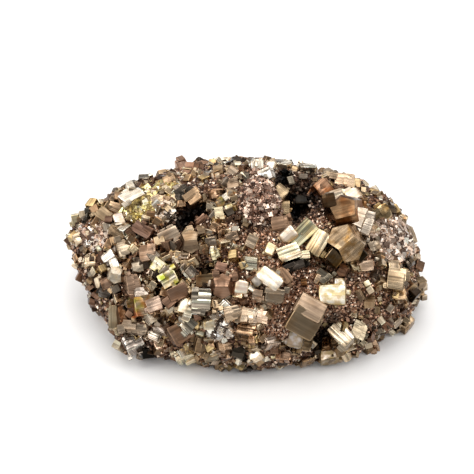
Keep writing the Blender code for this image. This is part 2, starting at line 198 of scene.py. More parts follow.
# Every lump, cavity and bump as one table of place, radius and height
def reliefTable():
    display = np.vstack([mass["displayRelief"], knobLumps()])
    rows = [np.hstack([seenOn(plainRadius, display[:, :2]), display[:, 2:]]), np.array(mass["otherRelief"])]
    spots = spiral(mass["bumps"])
    index = np.arange(mass["bumps"])
    radii = mass["bumpRadius"] * (1 + 0.3 * np.sin(index * 1.7))
    heights = mass["bumpHeight"] * np.sin(index * 2.4)
    rows.append(np.column_stack([spots * plainRadius(spots)[:, None], radii, heights]))
    return np.vstack(rows)


relief = reliefTable()


# The plain radius plus height * exp(-(distance / radius)^2) round each bump
def massRadius(directions):
    radius = plainRadius(directions)
    surface = directions * radius[:, None]
    total = radius.copy()
    for x, y, z, width, height in relief:
        distance2 = ((surface - (x, y, z)) ** 2).sum(axis=1)
        total += height * np.exp(-distance2 / width**2)
    return total


# Where the eye sees points, as (across, up)
def seenPlace(points):
    offset = points - eyePoint
    onDisplay = eyePoint + offset * (eye["distance"] / -(offset @ towardsAxis))[:, None]
    return np.column_stack([onDisplay @ rightAxis, onDisplay @ upAxis])


# The painted shade of the cavities and of the shadows beside the knob and the big crystals, at points of the
# front: the share of light it leaves, the product over the shaded patches of 1 - depth * exp(-q^2), where q
# is the squared distance from a patch's middle in half sizes of its ellipse
def hollowShade(points):
    seen = seenPlace(points)
    shade = np.ones(len(points))
    for across, up, halfLong, halfWide, turn, depth in mass["paintedShadePatches"]:
        angle = np.radians(turn)
        offset = seen - (across, up)
        long = (offset @ (np.cos(angle), np.sin(angle))) / halfLong
        wide = (offset @ (-np.sin(angle), np.cos(angle))) / halfWide
        shade *= 1 - depth * np.exp(-((long**2 + wide**2) ** 2))
    return np.where(points @ towardsAxis > 0, shade, 1.0)


# Unit normals of the mass: the cross product of two short steps along its surface
def massNormals(directions):
    helper = np.where(np.abs(directions[:, 2:]) < 0.9, [[0.0, 0.0, 1.0]], [[1.0, 0.0, 0.0]])
    first = np.cross(helper, directions)
    first /= np.linalg.norm(first, axis=1)[:, None]
    second = np.cross(directions, first)
    corners = []
    for step in (first * 0, first * 0.01, second * 0.01):
        aimed = directions + step
        aimed /= np.linalg.norm(aimed, axis=1)[:, None]
        corners.append(aimed * massRadius(aimed)[:, None])
    normal = np.cross(corners[1] - corners[0], corners[2] - corners[0])
    return normal / np.linalg.norm(normal, axis=1)[:, None]


# How squarely the plain ellipsoid faces the eye at points of the mass, as a cosine
def plainFacing(points):
    sight = eyePoint - points
    outward = points / np.square(mass["halfSize"])
    return (outward * sight).sum(axis=1) / np.linalg.norm(sight, axis=1) / np.linalg.norm(outward, axis=1)


# Smooth roughness, mostly between -1 and 1: the sum of nine sine waves in fixed directions over the root of
# their number
def ripple(points, wavelength, phase):
    waves = spiral(9)
    total = sum(np.sin(points @ wave * (2 * np.pi / wavelength) + phase * (number + 1) * 1.9)
                for number, wave in enumerate(waves))
    return total / np.sqrt(len(waves))


# A closed cube skin of n squares a side. Each point has whole coordinates from 0 to n and the number of the
# face it lies inside, or -1 on an edge. Faces are numbered axis * 2, plus 1 on the far side.
def cubeSkin(n):
    steps = np.arange(n + 1)
    lattice = np.stack(np.meshgrid(steps, steps, steps, indexing="ij"), axis=-1).reshape(-1, 3)
    atEnd = (lattice == 0) | (lattice == n)
    onSkin = atEnd.any(axis=1)
    numbers = np.cumsum(onSkin) - 1
    first, second = (part.ravel() for part in np.meshgrid(steps[:-1], steps[:-1], indexing="ij"))
    quads, faces = [], []
    for axis in range(3):
        for side in (0, 1):
            corners = []
            for alongFirst, alongSecond in ((0, 0), (1, 0), (1, 1), (0, 1)):
                place = [None, None, None]
                place[axis] = np.full_like(first, side * n)
                place[(axis + 1) % 3] = first + alongFirst
                place[(axis + 2) % 3] = second + alongSecond
                corners.append(numbers[(place[0] * (n + 1) + place[1]) * (n + 1) + place[2]])
            quad = np.stack(corners, axis=1)
            quads.append(quad if side else quad[:, ::-1])
            faces.append(np.full(len(quad), axis * 2 + side))
    skin = lattice[onSkin]
    ends = atEnd[onSkin]
    axisOfPoint = ends.argmax(axis=1)
    pointFace = np.where(ends.sum(axis=1) == 1, axisOfPoint * 2 + (skin.max(axis=1) == n), -1)
    return {"n": n, "points": skin, "quads": np.vstack(quads), "quadFace": np.concatenate(faces),
            "pointFace": pointFace}


# Puts arrays into a mesh object at the origin: points in millimetres, quads, one colour a quad, and growth
# coordinates a corner. Edges flatter than smoothBelow are shaded smooth.
def makePiece(name, points, quads, material, tint=None, growth=None, smoothBelow=None):
    mesh = bpy.data.meshes.new(name)
    mesh.vertices.add(len(points))
    placed = (points + (0, 0, mass["middleHeight"])) * mm
    mesh.vertices.foreach_set("co", placed.astype(np.float32).ravel())
    mesh.loops.add(quads.size)
    mesh.loops.foreach_set("vertex_index", quads.astype(np.int32).ravel())
    mesh.polygons.add(len(quads))
    mesh.polygons.foreach_set("loop_start", np.arange(0, quads.size, 4, dtype=np.int32))
    mesh.update(calc_edges=True)
    if smoothBelow is None:
        mesh.shade_flat()
    else:
        mesh.set_sharp_from_angle(angle=np.radians(smoothBelow))
    if tint is not None:
        layer = mesh.attributes.new("tint", "FLOAT_COLOR", "FACE")
        opaque = np.column_stack([tint, np.ones(len(tint))])
        layer.data.foreach_set("color", opaque.astype(np.float32).ravel())
    if growth is not None:
        layer = mesh.uv_layers.new(name="growth")
        layer.uv.foreach_set("vector", growth.astype(np.float32).ravel())
    mesh.materials.append(material)
    piece = bpy.data.objects.new(name, mesh)
    bpy.context.scene.collection.objects.link(piece)
    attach(piece, bodyName)
    print(f"{name}: {len(quads) * 2} triangles")
    return piece


# Saws off what a piece has below the base, and closes each cut
def sawBase(piece):
    shape = bmesh.new()
    shape.from_mesh(piece.data)
    parts = shape.verts[:] + shape.edges[:] + shape.faces[:]
    cut = bmesh.ops.bisect_plane(shape, geom=parts, plane_co=(0, 0, 0), plane_no=(0, 0, -1),
                                 clear_outer=True)
    edges = [part for part in cut["geom_cut"] if isinstance(part, bmesh.types.BMEdge)]
    bmesh.ops.holes_fill(shape, edges=edges)
    shape.to_mesh(piece.data)
    shape.free()


# Shader groups

# A node group with these inputs and outputs. A number is given as its default, and a vector as None.
def newGroup(name, inputs, outputs):
    group = bpy.data.node_groups.new(name, "ShaderNodeTree")
    for title, default in inputs.items():
        kind = "NodeSocketVector" if default is None else "NodeSocketFloat"
        socket = group.interface.new_socket(title, in_out="INPUT", socket_type=kind)
        if default is not None:
            socket.default_value = default
    for title, kind in outputs.items():
        group.interface.new_socket(title, in_out="OUTPUT", socket_type="NodeSocket" + kind)
    source = group.nodes.new("NodeGroupInput")
    result = group.nodes.new("NodeGroupOutput")
    return group, source.outputs, result.inputs


# Links a value to a socket, or sets it
def feed(tree, socket, value):
    if isinstance(value, bpy.types.NodeSocket):
        tree.links.new(value, socket)
    else:
        socket.default_value = value


# Adds a node, sets its plain properties, and feeds its inputs, given by name or as i and a number
def addNode(tree, kind, properties=None, **inputs):
    node = tree.nodes.new("ShaderNode" + kind)
    for title, value in (properties or {}).items():
        setattr(node, title, value)
    for title, value in inputs.items():
        feed(tree, node.inputs[int(title[1:]) if title[1:].isdigit() else title], value)
    return node


def maths(tree, operation, first, second):
    return addNode(tree, "Math", {"operation": operation}, i0=first, i1=second).outputs[0]


def remap(tree, value, low, high, newLow=0.0, newHigh=1.0):
    return addNode(tree, "MapRange", None, i0=value, i1=low, i2=high, i3=newLow, i4=newHigh).outputs[0]


def mixColour(tree, share, first, second, blend="MIX"):
    node = addNode(tree, "Mix", {"data_type": "RGBA", "blend_type": blend}, i0=share, i6=first, i7=second)
    return node.outputs[2]


# Growth lines: noise stretched along the second growth coordinate, coarse bands with fine lines in them
growthLines = {"fineScale": 3.4, "stretch": 0.04, "coarseShare": 0.65, "low": 0.36, "high": 0.64}


def growthLinesGroup():
    group, given, result = newGroup("growthLines", {"Growth": None, "Lines per mm": 2.5}, {"Lines": "Float"})
    apart = addNode(group, "SeparateXYZ", i0=given["Growth"])
    perMm = maths(group, "MULTIPLY", apart.outputs[0], given["Lines per mm"])
    shares = []
    for scale, share in ((1.0, growthLines["coarseShare"]),
                         (growthLines["fineScale"], 1 - growthLines["coarseShare"])):
        across = maths(group, "MULTIPLY", perMm, scale)
        along = maths(group, "MULTIPLY", apart.outputs[1], growthLines["stretch"] * scale)
        joined = addNode(group, "CombineXYZ", i0=across, i1=along).outputs[0]
        noise = addNode(group, "TexNoise", {"noise_dimensions": "2D"}, Vector=joined, Scale=1.0, Detail=1.0)
        shares.append(maths(group, "MULTIPLY", noise.outputs[0], share))
    both = maths(group, "ADD", *shares)
    group.links.new(remap(group, both, growthLines["low"], growthLines["high"]), result["Lines"])
    return group


# Tarnish: soft patches on object coordinates, and a second field that picks their colour
def tarnishGroup():
    group, given, result = newGroup("tarnish", {"Patches per mm": 0.35, "Cover": 0.5},
                                    {"Patches": "Float", "Hue": "Float"})
    place = addNode(group, "TexCoord").outputs["Object"]
    scale = maths(group, "MULTIPLY", given["Patches per mm"], 1 / mm)
    patches = addNode(group, "TexNoise", Vector=place, Scale=scale, Detail=2.0, Roughness=0.5)

    # A patch's edge is soft. The more cover, the lower the noise at which it begins.
    bare = maths(group, "SUBTRACT", 1.0, given["Cover"])
    low = maths(group, "ADD", maths(group, "MULTIPLY", bare, 0.5), 0.12)
    high = maths(group, "ADD", low, 0.24)
    group.links.new(remap(group, patches.outputs[0], low, high), result["Patches"])

    # The second field is coarser, and is read elsewhere
    shifted = addNode(group, "VectorMath", {"operation": "ADD"}, i0=place, i1=(0.31, 0.17, 0.05)).outputs[0]
    coarser = maths(group, "MULTIPLY", scale, 0.6)
    hue = addNode(group, "TexNoise", Vector=shifted, Scale=coarser, Detail=1.0)
    group.links.new(remap(group, hue.outputs[0], 0.35, 0.65), result["Hue"])
    return group


# Pitting: the small cells of a natural face, as a height, and the same cells as a random value
def pittingGroup():
    group, given, result = newGroup("pitting", {"Pits per mm": 3.0}, {"Height": "Float", "Cell": "Float"})
    place = addNode(group, "TexCoord").outputs["Object"]
    scale = maths(group, "MULTIPLY", given["Pits per mm"], 1 / mm)
    cells = addNode(group, "TexVoronoi", Vector=place, Scale=scale)
    group.links.new(cells.outputs["Distance"], result["Height"])
    apart = addNode(group, "SeparateColor", i0=cells.outputs["Color"])
    group.links.new(apart.outputs[0], result["Cell"])
    return group


groups = {"lines": growthLinesGroup(), "tarnish": tarnishGroup(), "pitting": pittingGroup()}


def useGroup(tree, name, **inputs):
    node = tree.nodes.new("ShaderNodeGroup")
    node.node_tree = groups[name]
    for title, value in inputs.items():
        feed(tree, node.inputs[title.replace("_", " ")], value)
    return node.outputs


# A material with its node tree, its shader and the tint of the mesh
def tintedMaterial(name):
    material = bpy.data.materials.new(name)
    material.use_nodes = True
    tree = material.node_tree
    tint = addNode(tree, "Attribute", {"attribute_name": "tint"}).outputs["Color"]
    return material, tree, tree.nodes["Principled BSDF"], tint


# A colour multiplied by plain shares of red, green and blue
def shaded(tree, colour, shares):
    return mixColour(tree, 1.0, colour, (*shares, 1), "MULTIPLY")


# A bright mineral face: its own tint, darker along growth lines, with a coloured film in patches
def pyriteMaterial(name, look):
    material, tree, shader, tint = tintedMaterial(name)
    growth = addNode(tree, "UVMap", {"uv_map": "growth"}).outputs[0]
    lines = useGroup(tree, "lines", Growth=growth, Lines_per_mm=look["linesPerMm"])["Lines"]
    film = useGroup(tree, "tarnish", Patches_per_mm=look["filmPerMm"], Cover=look["filmCover"])
    pits = useGroup(tree, "pitting", Pits_per_mm=look["pitsPerMm"])

    lined = mixColour(tree, lines, shaded(tree, tint, [look["lineShade"]] * 3), tint)
    firstFilm, secondFilm = ((*linear(colour), 1) for colour in look["filmColours"])
    filmColour = mixColour(tree, film["Hue"], firstFilm, secondFilm)
    filmed = mixColour(tree, 1.0, lined, filmColour, "MULTIPLY")
    colour = mixColour(tree, maths(tree, "MULTIPLY", film["Patches"], look["filmStrength"]), lined, filmed)
    tree.links.new(colour, shader.inputs["Base Color"])
    shader.inputs["Metallic"].default_value = look["metallic"]

    rough = remap(tree, film["Patches"], 0, 1, look["roughness"], look["roughness"] + look["filmRoughness"])
    tree.links.new(rough, shader.inputs["Roughness"])
    height = maths(tree, "ADD", maths(tree, "MULTIPLY", lines, look["lineDepth"]),
                   maths(tree, "MULTIPLY", pits["Height"], look["pitDepth"]))
    bump = addNode(tree, "Bump", Height=height, Distance=look["bumpDepth"] * mm, Strength=1.0)
    tree.links.new(bump.outputs[0], shader.inputs["Normal"])
    return material


# What every crystal finish starts from. A piece's own dictionary says where it differs.
plainLook = {
    "seed": 11,  # of the piece's own chance, so that a change to one piece leaves the others as they are
    "blocks": [],  # across, up, wide, tall, turn and, where it isn't left to chance, lean right and lean up
    "slivers": [],  # the same, for small ones that the crystals of the rim may crowd
    "rounds": [],  # pyritohedra: across, up, width, turn, lean right, lean up
    "colour": (200, 185, 150),
    "hueVary": (0.94, 1.06),
    "vary": 0.14,  # from crystal to crystal
    "faceVary": 0.22,  # from face to face
    "stripeVary": 0.14,  # from strip to strip on a face
    "shadeRange": (0.12, 1.5),
    "squares": 12,  # along each side of a crystal's grid
    "lineJitter": 0.3,  # how unevenly its lines are spread
    "grooveDepth": 0.04,
    "groovePower": 1.6,  # the higher, the fewer strips are deep
    "grooveMix": (0.35, 1.0, 1.0, 1.9),  # how deep one face's strips are against another's
    "swell": 0.035,  # how far a face bows in or out, of the crystal's size
    "swellTilt": 1.6,
    "rimWidth": 0.16,
    "widestRim": 0.3,  # of half the crystal
    "edgePull": 0.42,  # how far the rim rounds the edges, of its width
    "rimHighlightAndTone": (1.3, 1.27, 1.22),  # what the rim's colour is multiplied by: above 1 a painted highlight along the edges, below 1 a yellower edge tone
    "rounding": 0.55,  # the largest share of a rounded form in a block
    "evenRounding": 0.0,  # and the smallest, of the largest
    "roundPower": 5.0,
    "smoothBelow": 9,
    "cornerCut": 0.8,
    "cornerShare": 0.3,
    "taper": 0.09,
    "ridge": 1.5,  # how high a pyritohedron's ridges stand, where its cube corners are at 1
    "halfRidge": 0.75,
    "roundShrink": 1.3,
    "besideFrom": 2.4,  # the size from which a crystal has others beside it
    "besideSquares": 5,
    "plates": 2,  # thinner blocks grown in step with each crystal
    "plateShare": (0.35, 0.98),  # of the crystal's size
    "plateStep": (0.04, 0.22),
    "satellites": 4,  # smaller blocks round its foot, turned a little
    "satelliteShare": (0.22, 0.5),
    "satelliteShape": (0.75, 1.25),
    "satelliteReach": 0.55,
    "satelliteHeight": (-0.5, 0.42),
    "satelliteSide": 0.54,
    "satelliteTurn": 16,
    "satelliteShade": (0.45, 1.05),
    "linesPerMm": 1.2,
    "lineShade": 0.6,
    "lineDepth": 0.22,
    "pitsPerMm": 4.0,
    "pitDepth": 0.04,
    "bumpDepth": 0.1,
    "filmPerMm": 0.25,
    "filmCover": 0.35,
    "filmStrength": 0.5,
    "filmColours": ((210, 176, 130), (160, 136, 116)),
    "filmRoughness": 0.16,
    "roughness": 0.2,
    "metallic": 1.0,
}


# The points of unit crystals on a cube skin, shape by shape.
# A block's: evenly spread lines with a narrow rim of fixed width, its edges pulled in to round them.
# A pyritohedron's: over each half of a cube face, (1 - v) * ridge(u) + v * border(u), where the ridge is
# (ridge, halfRidge * u, 0) and the border bends from a cube corner through the next face's ridge end.
def crystalPoints(skin, sizes, rounds, look, draw):
    n = skin["n"]
    count = len(sizes)
    half = sizes / 2
    inner = np.linspace(-1, 1, n - 1)
    jitter = draw.uniform(-look["lineJitter"], look["lineJitter"], (count, 3, n - 1)) * (2 / (n - 2))
    jitter[:, :, [0, -1]] = 0
    rim = np.minimum(look["rimWidth"] / half, look["widestRim"])[:, :, None]
    last = np.ones((count, 3, 1))
    lines = np.concatenate([-last, (inner + jitter) * (1 - rim), last], axis=2)
    lattice = skin["points"]
    points = np.stack([lines[:, axis, lattice[:, axis]] for axis in range(3)], axis=2)
    ends = (lattice == 0) | (lattice == n)
    pulled = ends & (ends.sum(axis=1) > 1)[:, None]
    points = points * (1 - look["edgePull"] * rim.transpose(0, 2, 1) * pulled)

    # Some corners are cut off square to the crystal's diagonal, at a reach of 3 less the cut
    corner = (points > 0) @ np.array([1, 2, 4])
    cuts = draw.uniform(0, look["cornerCut"], (count, 8)) * (draw.random((count, 8)) < look["cornerShare"])
    cut = np.take_along_axis(cuts, corner, axis=1)
    over = np.where(cut == 0, 0, np.maximum(np.abs(points).sum(axis=2) - 3 + cut, 0))
    points = points - np.sign(points) * over[..., None] / 3

    # Each block is rounded by its own share towards p / (|x|^k + |y|^k + |z|^k)^(1 / k)
    power = look["roundPower"]
    norm = (np.abs(points) ** power).sum(axis=2) ** (1 / power)
    share = look["rounding"] * draw.uniform(look["evenRounding"], 1, (count, 1))
    points = points * (1 + share * (1 / np.maximum(norm, 1) - 1))[..., None]

    # A slight taper along each axis, as in crystals that crowd each other
    taper = draw.uniform(-look["taper"], look["taper"], (count, 1, 3))
    points = points * (1 + taper * np.roll(points, 1, axis=2))

    if rounds.any():
        even = lattice / n * 2 - 1
        axis = ends.argmax(axis=1)
        rows = np.arange(len(even))
        side = even[rows, axis]
        u = even[rows, (axis + 1) % 3]  # along the ridge
        v = even[rows, (axis + 2) % 3]
        ridge, halfRidge = look["ridge"], look["halfRidge"]
        unit = np.zeros_like(even)
        border = halfRidge + (1 - halfRidge) * np.abs(u)
        unit[rows, axis] = side * ((1 - np.abs(v)) * ridge + np.abs(v) * border)
        unit[rows, (axis + 1) % 3] = (1 - np.abs(v)) * halfRidge * u + np.abs(v) * u
        unit[rows, (axis + 2) % 3] = v * (ridge - (ridge - 1) * np.abs(u))
        points[rounds] = unit / look["roundShrink"]
    return points * half[:, None]


# Many crystals as one closed-shell mesh. Each face gets shallow growth steps: a random depth for every strip
# across it, with the strips of neighbouring faces at right angles, as pyrite grows. It also bows by
# (1 - u^2)(1 - v^2) times a random plane.
def addCrystals(name, material, look, draw, n, centres, turns, sizes, colours, rounds=None):
    skin = cubeSkin(n)
    count = len(centres)
    rounds = np.zeros(count, bool) if rounds is None else rounds
    points = crystalPoints(skin, sizes, rounds, look, draw)

    face = skin["pointFace"]
    axis = np.maximum(face, 0) // 2
    side = np.where(np.maximum(face, 0) % 2, 1.0, -1.0)
    rows = np.arange(len(face))
    crossIndex = skin["points"][rows, (axis + 2) % 3]
    depths = look["grooveDepth"] * draw.random((count, 6, n + 1)) ** look["groovePower"]
    depths *= draw.choice(look["grooveMix"], (count, 6, 1))
    sunk = depths[:, np.maximum(face, 0), crossIndex] * (face >= 0)
    flat = skin["points"] / n * 2 - 1
    u, v = flat[rows, (axis + 1) % 3], flat[rows, (axis + 2) % 3]
    plane = np.stack([np.ones_like(u), look["swellTilt"] * u, look["swellTilt"] * v], axis=1)
    fields = plane * ((1 - u**2) * (1 - v**2))[:, None]
    shares = draw.standard_normal((count, 6, 3))[:, np.maximum(face, 0)]
    sunk += (shares * fields).sum(axis=2) * (look["swell"] * sizes.mean(axis=1))[:, None] * (face >= 0)
    for k in range(3):
        points[:, :, k] -= sunk * side * (axis == k)
    placed = centres[:, None] + np.einsum("cij,cpj->cpi", turns, points)

    quads = (skin["quads"][None] + (np.arange(count) * len(face))[:, None, None]).reshape(-1, 4)
    quadAxis = skin["quadFace"] // 2
    crossOfCorner = (quadAxis[:, None] + 2) % 3
    alongOfCorner = (quadAxis[:, None] + 1) % 3
    corners = points[:, skin["quads"]]
    cross = np.take_along_axis(corners, crossOfCorner[None, :, :, None], axis=3)[..., 0]
    along = np.take_along_axis(corners, alongOfCorner[None, :, :, None], axis=3)[..., 0]
    shift = draw.uniform(0, 400, (count, 6, 2))[:, skin["quadFace"]]
    growth = np.stack([cross + shift[:, :, None, 0], along + shift[:, :, None, 1]], axis=-1).reshape(-1, 2)

    low = skin["points"][skin["quads"]].min(axis=1)
    quadRows = np.arange(len(quadAxis))
    strip, beside = low[quadRows, (quadAxis + 2) % 3], low[quadRows, (quadAxis + 1) % 3]
    onRim = (strip == 0) | (strip == n - 1) | (beside == 0) | (beside == n - 1)
    shade = 1 + look["vary"] * draw.standard_normal((count, 1))
    shade = shade * (1 + look["faceVary"] * draw.standard_normal((count, 6)))[:, skin["quadFace"]]
    stripes = 1 + look["stripeVary"] * draw.standard_normal((count, 6, n))
    shade = np.clip(shade * stripes[:, skin["quadFace"], strip], *look["shadeRange"])
    # Painted highlight: the rim quads of the blocks are brightened as if catching light; where the factor is
    # below 1 it is a yellower edge tone instead
    highlightAndToneRim = (~rounds)[:, None] & onRim
    tint = colours[:, None] * shade[..., None] * np.where(highlightAndToneRim[..., None], look["rimHighlightAndTone"], 1.0)
    tint = np.clip(tint, 0, 1).reshape(-1, 3)
    piece = makePiece(name, placed.reshape(-1, 3), quads, material, tint, growth, look["smoothBelow"])
    if placed[..., 2].min() < -mass["middleHeight"]:
        sawBase(piece)
    return piece


leans = {"right": 26, "up": 22, "always": 10}


# A lean for crystals given without one, which varies with the place as if by chance. All lean up a little.
def wobble(across, up):
    leanRight = leans["right"] * np.sin(across * 1.7 + up * 2.3)
    return leanRight, leans["always"] + leans["up"] * np.sin(across * 2.9 - up * 1.3)


# The turn of a crystal whose front face leans this far to the right and up from facing the eye
def facingEye(turn, leanRight, leanUp):
    view = Matrix((rightAxis, upAxis, towardsAxis)).transposed()
    lean = Matrix.Rotation(np.radians(leanRight), 3, "Y") @ Matrix.Rotation(-np.radians(leanUp), 3, "X")
    return np.array(view @ lean @ Matrix.Rotation(np.radians(turn), 3, "Z"))


crystalRise = 0.14  # of its size, how far a crystal's middle stands above the mass


# Centre, turn and size of crystals laid out on the display face. A row is (across, up, wide, tall, turn),
# then where it is given (lean right, lean up). A pyritohedron's row has one width.
def layOut(blocks, rounds):
    rows = [(*row[:5], *(row[5:] or wobble(*row[:2]))) for row in blocks]
    rows += [(*row[:3], row[2], *row[3:]) for row in rounds]
    table = np.array(rows, float)
    turns = np.array([facingEye(*row) for row in table[:, 4:]])
    depth = table[:, 2:4].mean(axis=1)
    sizes = np.column_stack([table[:, 2:4], depth])
    hits = seenOn(massRadius, table[:, :2])
    sight = eyePoint - hits
    sight /= np.linalg.norm(sight, axis=1)[:, None]
    centres = hits + sight * (depth * crystalRise)[:, None]
    return centres, turns, sizes, np.arange(len(rows)) >= len(blocks)


# Thinner blocks in step with each crystal: as wide or a little less, moved so that one side stands just out
def growPlates(centres, turns, sizes, colours, look, draw):
    chosen = np.repeat(np.arange(len(centres)), look["plates"])
    plate = sizes[chosen] * draw.uniform(*look["plateShare"], (len(chosen), 3))
    standOut = draw.uniform(*look["plateStep"], (len(chosen), 3))
    room = (sizes[chosen] - plate) / 2
    offset = draw.choice([-1, 1], (len(chosen), 3)) * (room + standOut)
    moved = centres[chosen] + np.einsum("cij,cj->ci", turns[chosen], offset)
    return moved, turns[chosen], plate, colours[chosen]


# Turns by small random angles about the three axes
def smallTurns(count, largest, draw):
    a, b, c = np.radians(draw.uniform(-largest, largest, (3, count)))
    flat = np.ones(count)
    rows = np.stack([flat, -c, b, c, flat, -a, -b, a, flat], axis=1).reshape(-1, 3, 3)
    square, rest = np.linalg.qr(rows)
    return square * np.sign(np.diagonal(rest, axis1=1, axis2=2))[:, None, :]


# Smaller blocks against the sides of each crystal, most of them low down
def growSatellites(centres, turns, sizes, colours, look, draw):
    chosen = np.repeat(np.arange(len(centres)), look["satellites"])
    count = len(chosen)
    block = sizes[chosen].mean(axis=1)[:, None] * draw.uniform(*look["satelliteShare"], (count, 1))
    block = block * draw.uniform(*look["satelliteShape"], (count, 3))
    offset = draw.uniform(-look["satelliteReach"], look["satelliteReach"], (count, 3))
    offset[:, 2] = draw.uniform(*look["satelliteHeight"], count)
    side = draw.integers(0, 2, count)
    offset[np.arange(count), side] = draw.choice([-look["satelliteSide"], look["satelliteSide"]], count)
    moved = centres[chosen] + np.einsum("cij,cj->ci", turns[chosen], offset * sizes[chosen])
    turned = turns[chosen] @ smallTurns(count, look["satelliteTurn"], draw)
    return moved, turned, block, colours[chosen] * draw.uniform(*look["satelliteShade"], (count, 1))


# What grew beside crystals: plates in step with the blocks among them, and satellites round them all
def addBeside(name, material, look, draw, crystals, blocks):
    plates = growPlates(*(part[blocks] for part in crystals), look, draw)
    satellites = growSatellites(*crystals, look, draw)
    beside = [np.concatenate(pair) for pair in zip(plates, satellites)]
    if len(beside[0]):
        addCrystals(name + "_beside", material, look, draw, look["besideSquares"], *beside)


# One finish's crystals on the display face, with what grew beside the larger ones
def addDisplayPiece(name, own):
    look = {**plainLook, **own}
    draw = np.random.default_rng(look["seed"])
    material = pyriteMaterial(name + "Finish", look)
    centres, turns, sizes, rounds = layOut(look["blocks"] + look["slivers"], look["rounds"])
    colours = np.tile(linear(look["colour"]), (len(centres), 1))
    colours = colours * draw.uniform(*look["hueVary"], colours.shape)
    addCrystals(name, material, look, draw, look["squares"], centres, turns, sizes, colours, rounds)
    large = sizes[:, 2] > look["besideFrom"]
    crystals = [part[large] for part in (centres, turns, sizes, colours)]
    addBeside(name, material, look, draw, crystals, ~rounds[large])


whiteCrystals = {
    "colour": (226, 212, 192),
    "roughness": 0.3,
    "rounding": 1.1,
    "evenRounding": 0.5,
    "smoothBelow": 20,
    "rimHighlightAndTone": (0.9, 0.8, 0.6),
    "faceVary": 0.12,
    "stripeVary": 0.08,
    "lineShade": 0.8,
    "plates": 0,
    "satellites": 2,
    "filmPerMm": 0.5,
    "filmCover": 0.45,
    "filmStrength": 0.6,
    "filmColours": ((226, 204, 160), (206, 184, 166)),
    "slivers": [
        (-8.5, 25.5, 1.5, 3.0, 10), (-43.8, 4.6, 2.0, 2.0, 20), (-46.0, 4.4, 2.0, 2.0, -15),
        (-49.5, 0.9, 1.6, 1.6, 30), (-8.8, -2.0, 1.5, 1.5, 10), (-13.7, -21.2, 2.8, 1.8, -15),
        (36.3, -6.3, 1.9, 1.9, 25), (4.8, -28.5, 1.5, 1.5, 0), (8.1, -27.9, 1.5, 1.5, 20),
        (-5.7, -30.3, 2.4, 1.6, 5), (10.0, 7.3, 1.2, 1.2, 30),
    ],
    "blocks": [
        (-53.7, 13.2, 2.8, 2.8, 5), (-37.7, 13.0, 3.4, 4.0, 22, -8, 6), (-42.4, -17.1, 4.8, 4.8, -30),
        (-38.7, -23.0, 4.4, 3.4, -15), (-10.8, 25.9, 3.4, 3.2, 30), (-4.3, 20.7, 3.8, 2.8, -8),
        (-1.6, -7.3, 4.2, 4.2, -10, 8, 6),
        (-18.1, -12.8, 3.2, 4.6, -15, -20, 8), (-11.0, -18.2, 4.4, 3.0, 5), (6.8, 3.7, 2.8, 4.0, -30),
        (3.0, -27.6, 3.8, 3.2, 30), (31.8, 19.6, 4.8, 4.4, 35, 14, 26), (41.1, -21.8, 5.0, 3.8, 5),
        (13.0, 8.4, 5.2, 4.0, 40, -12, 2), (7.2, -5.0, 7.8, 5.0, -38, -4, 6),
    ],
    "rounds": [(-38.8, -3.8, 4.6, -10, 0, 12)],
}

mottledCrystals = {
    "colour": (218, 206, 188),
    "roughness": 0.3,
    "rounding": 1.1,
    "smoothBelow": 20,
    "rimHighlightAndTone": (0.86, 0.76, 0.52),
    "faceVary": 0.1,
    "stripeVary": 0.06,
    "lineShade": 0.86,
    "plates": 0,
    "satellites": 1,
    "filmPerMm": 0.6,
    "filmCover": 0.55,
    "filmStrength": 0.85,
    "filmColours": ((200, 184, 128), (212, 188, 156)),
    "blocks": [
        (26.0, -9.6, 7.6, 5.8, 0, -4, 6), (28.0, -8.6, 3.8, 7.6, 0, 2, 4),
        (15.2, -22.4, 4.2, 5.8, -12, -8, 6), (24.9, -27.6, 5.4, 4.4, 5, 0, 24),
    ],
}

creamCrystals = {
    "seed": 12,
    "colour": (203, 180, 151),
    "roughness": 0.22,
    "slivers": [
        (-36.3, -9.4, 1.2, 1.2, 10), (-22.3, -11.9, 1.8, 1.8, -20), (21.2, -4.6, 1.6, 3.0, -25),
        (-24.3, 22.0, 2.2, 2.2, 15), (-9.1, -12.2, 2.2, 4.0, 5), (-2.0, -9.9, 3.6, 2.0, -10),
    ],
    "blocks": [
        (-51.0, 13.2, 3.6, 3.6, 15), (-46.6, 0.2, 3.6, 3.0, 5), (-27.1, -12.8, 4.8, 4.0, 20, -12, 15),
        (-25.6, -24.8, 3.4, 3.2, 20), (-50.0, 7.0, 3.6, 3.4, 25), (-23.1, 7.5, 6.2, 4.6, 28, 6, 12),
        (-3.9, 27.3, 3.4, 3.2, -35), (-10.4, 17.1, 2.6, 3.4, -15), (-8.1, 14.2, 2.6, 4.2, 5),
        (-8.5, 11.0, 3.2, 2.6, -30), (2.0, 6.5, 3.2, 3.8, -25), (-18.1, 1.7, 3.4, 2.8, 0),
        (-8.5, 2.7, 2.6, 3.2, 20), (-26.0, 18.5, 3.4, 3.0, 25), (-29.5, 13.0, 3.2, 3.0, -15),
        (-3.8, -15.1, 5.4, 4.0, 15, 4, 12), (0.6, -15.6, 4.2, 3.2, -12, 8, 14),
        (4.6, -16.4, 3.2, 3.6, -12, 8, 14), (3.8, -9.3, 3.2, 3.4, -15), (-23.1, -28.5, 3.4, 3.0, 10),
        (30.3, 24.6, 5.8, 4.6, -8, 0, 22), (47.5, 13.5, 3.8, 3.6, -20), (-39.4, -16.1, 7.6, 2.8, 92, -6, 0),
        (-36.7, 4.4, 3.8, 5.0, 15, 12, 10), (-33.4, 4.4, 2.6, 2.6, 50), (44.2, -5.2, 5.2, 6.4, -10, 14, 10),
        (43.6, -1.4, 3.6, 3.2, 0), (35.5, -0.8, 4.2, 3.0, 5), (32.7, -1.3, 2.8, 2.8, 20),
    ],
    "rounds": [(37.4, 10.0, 3.0, 10, 0, 0)],
}

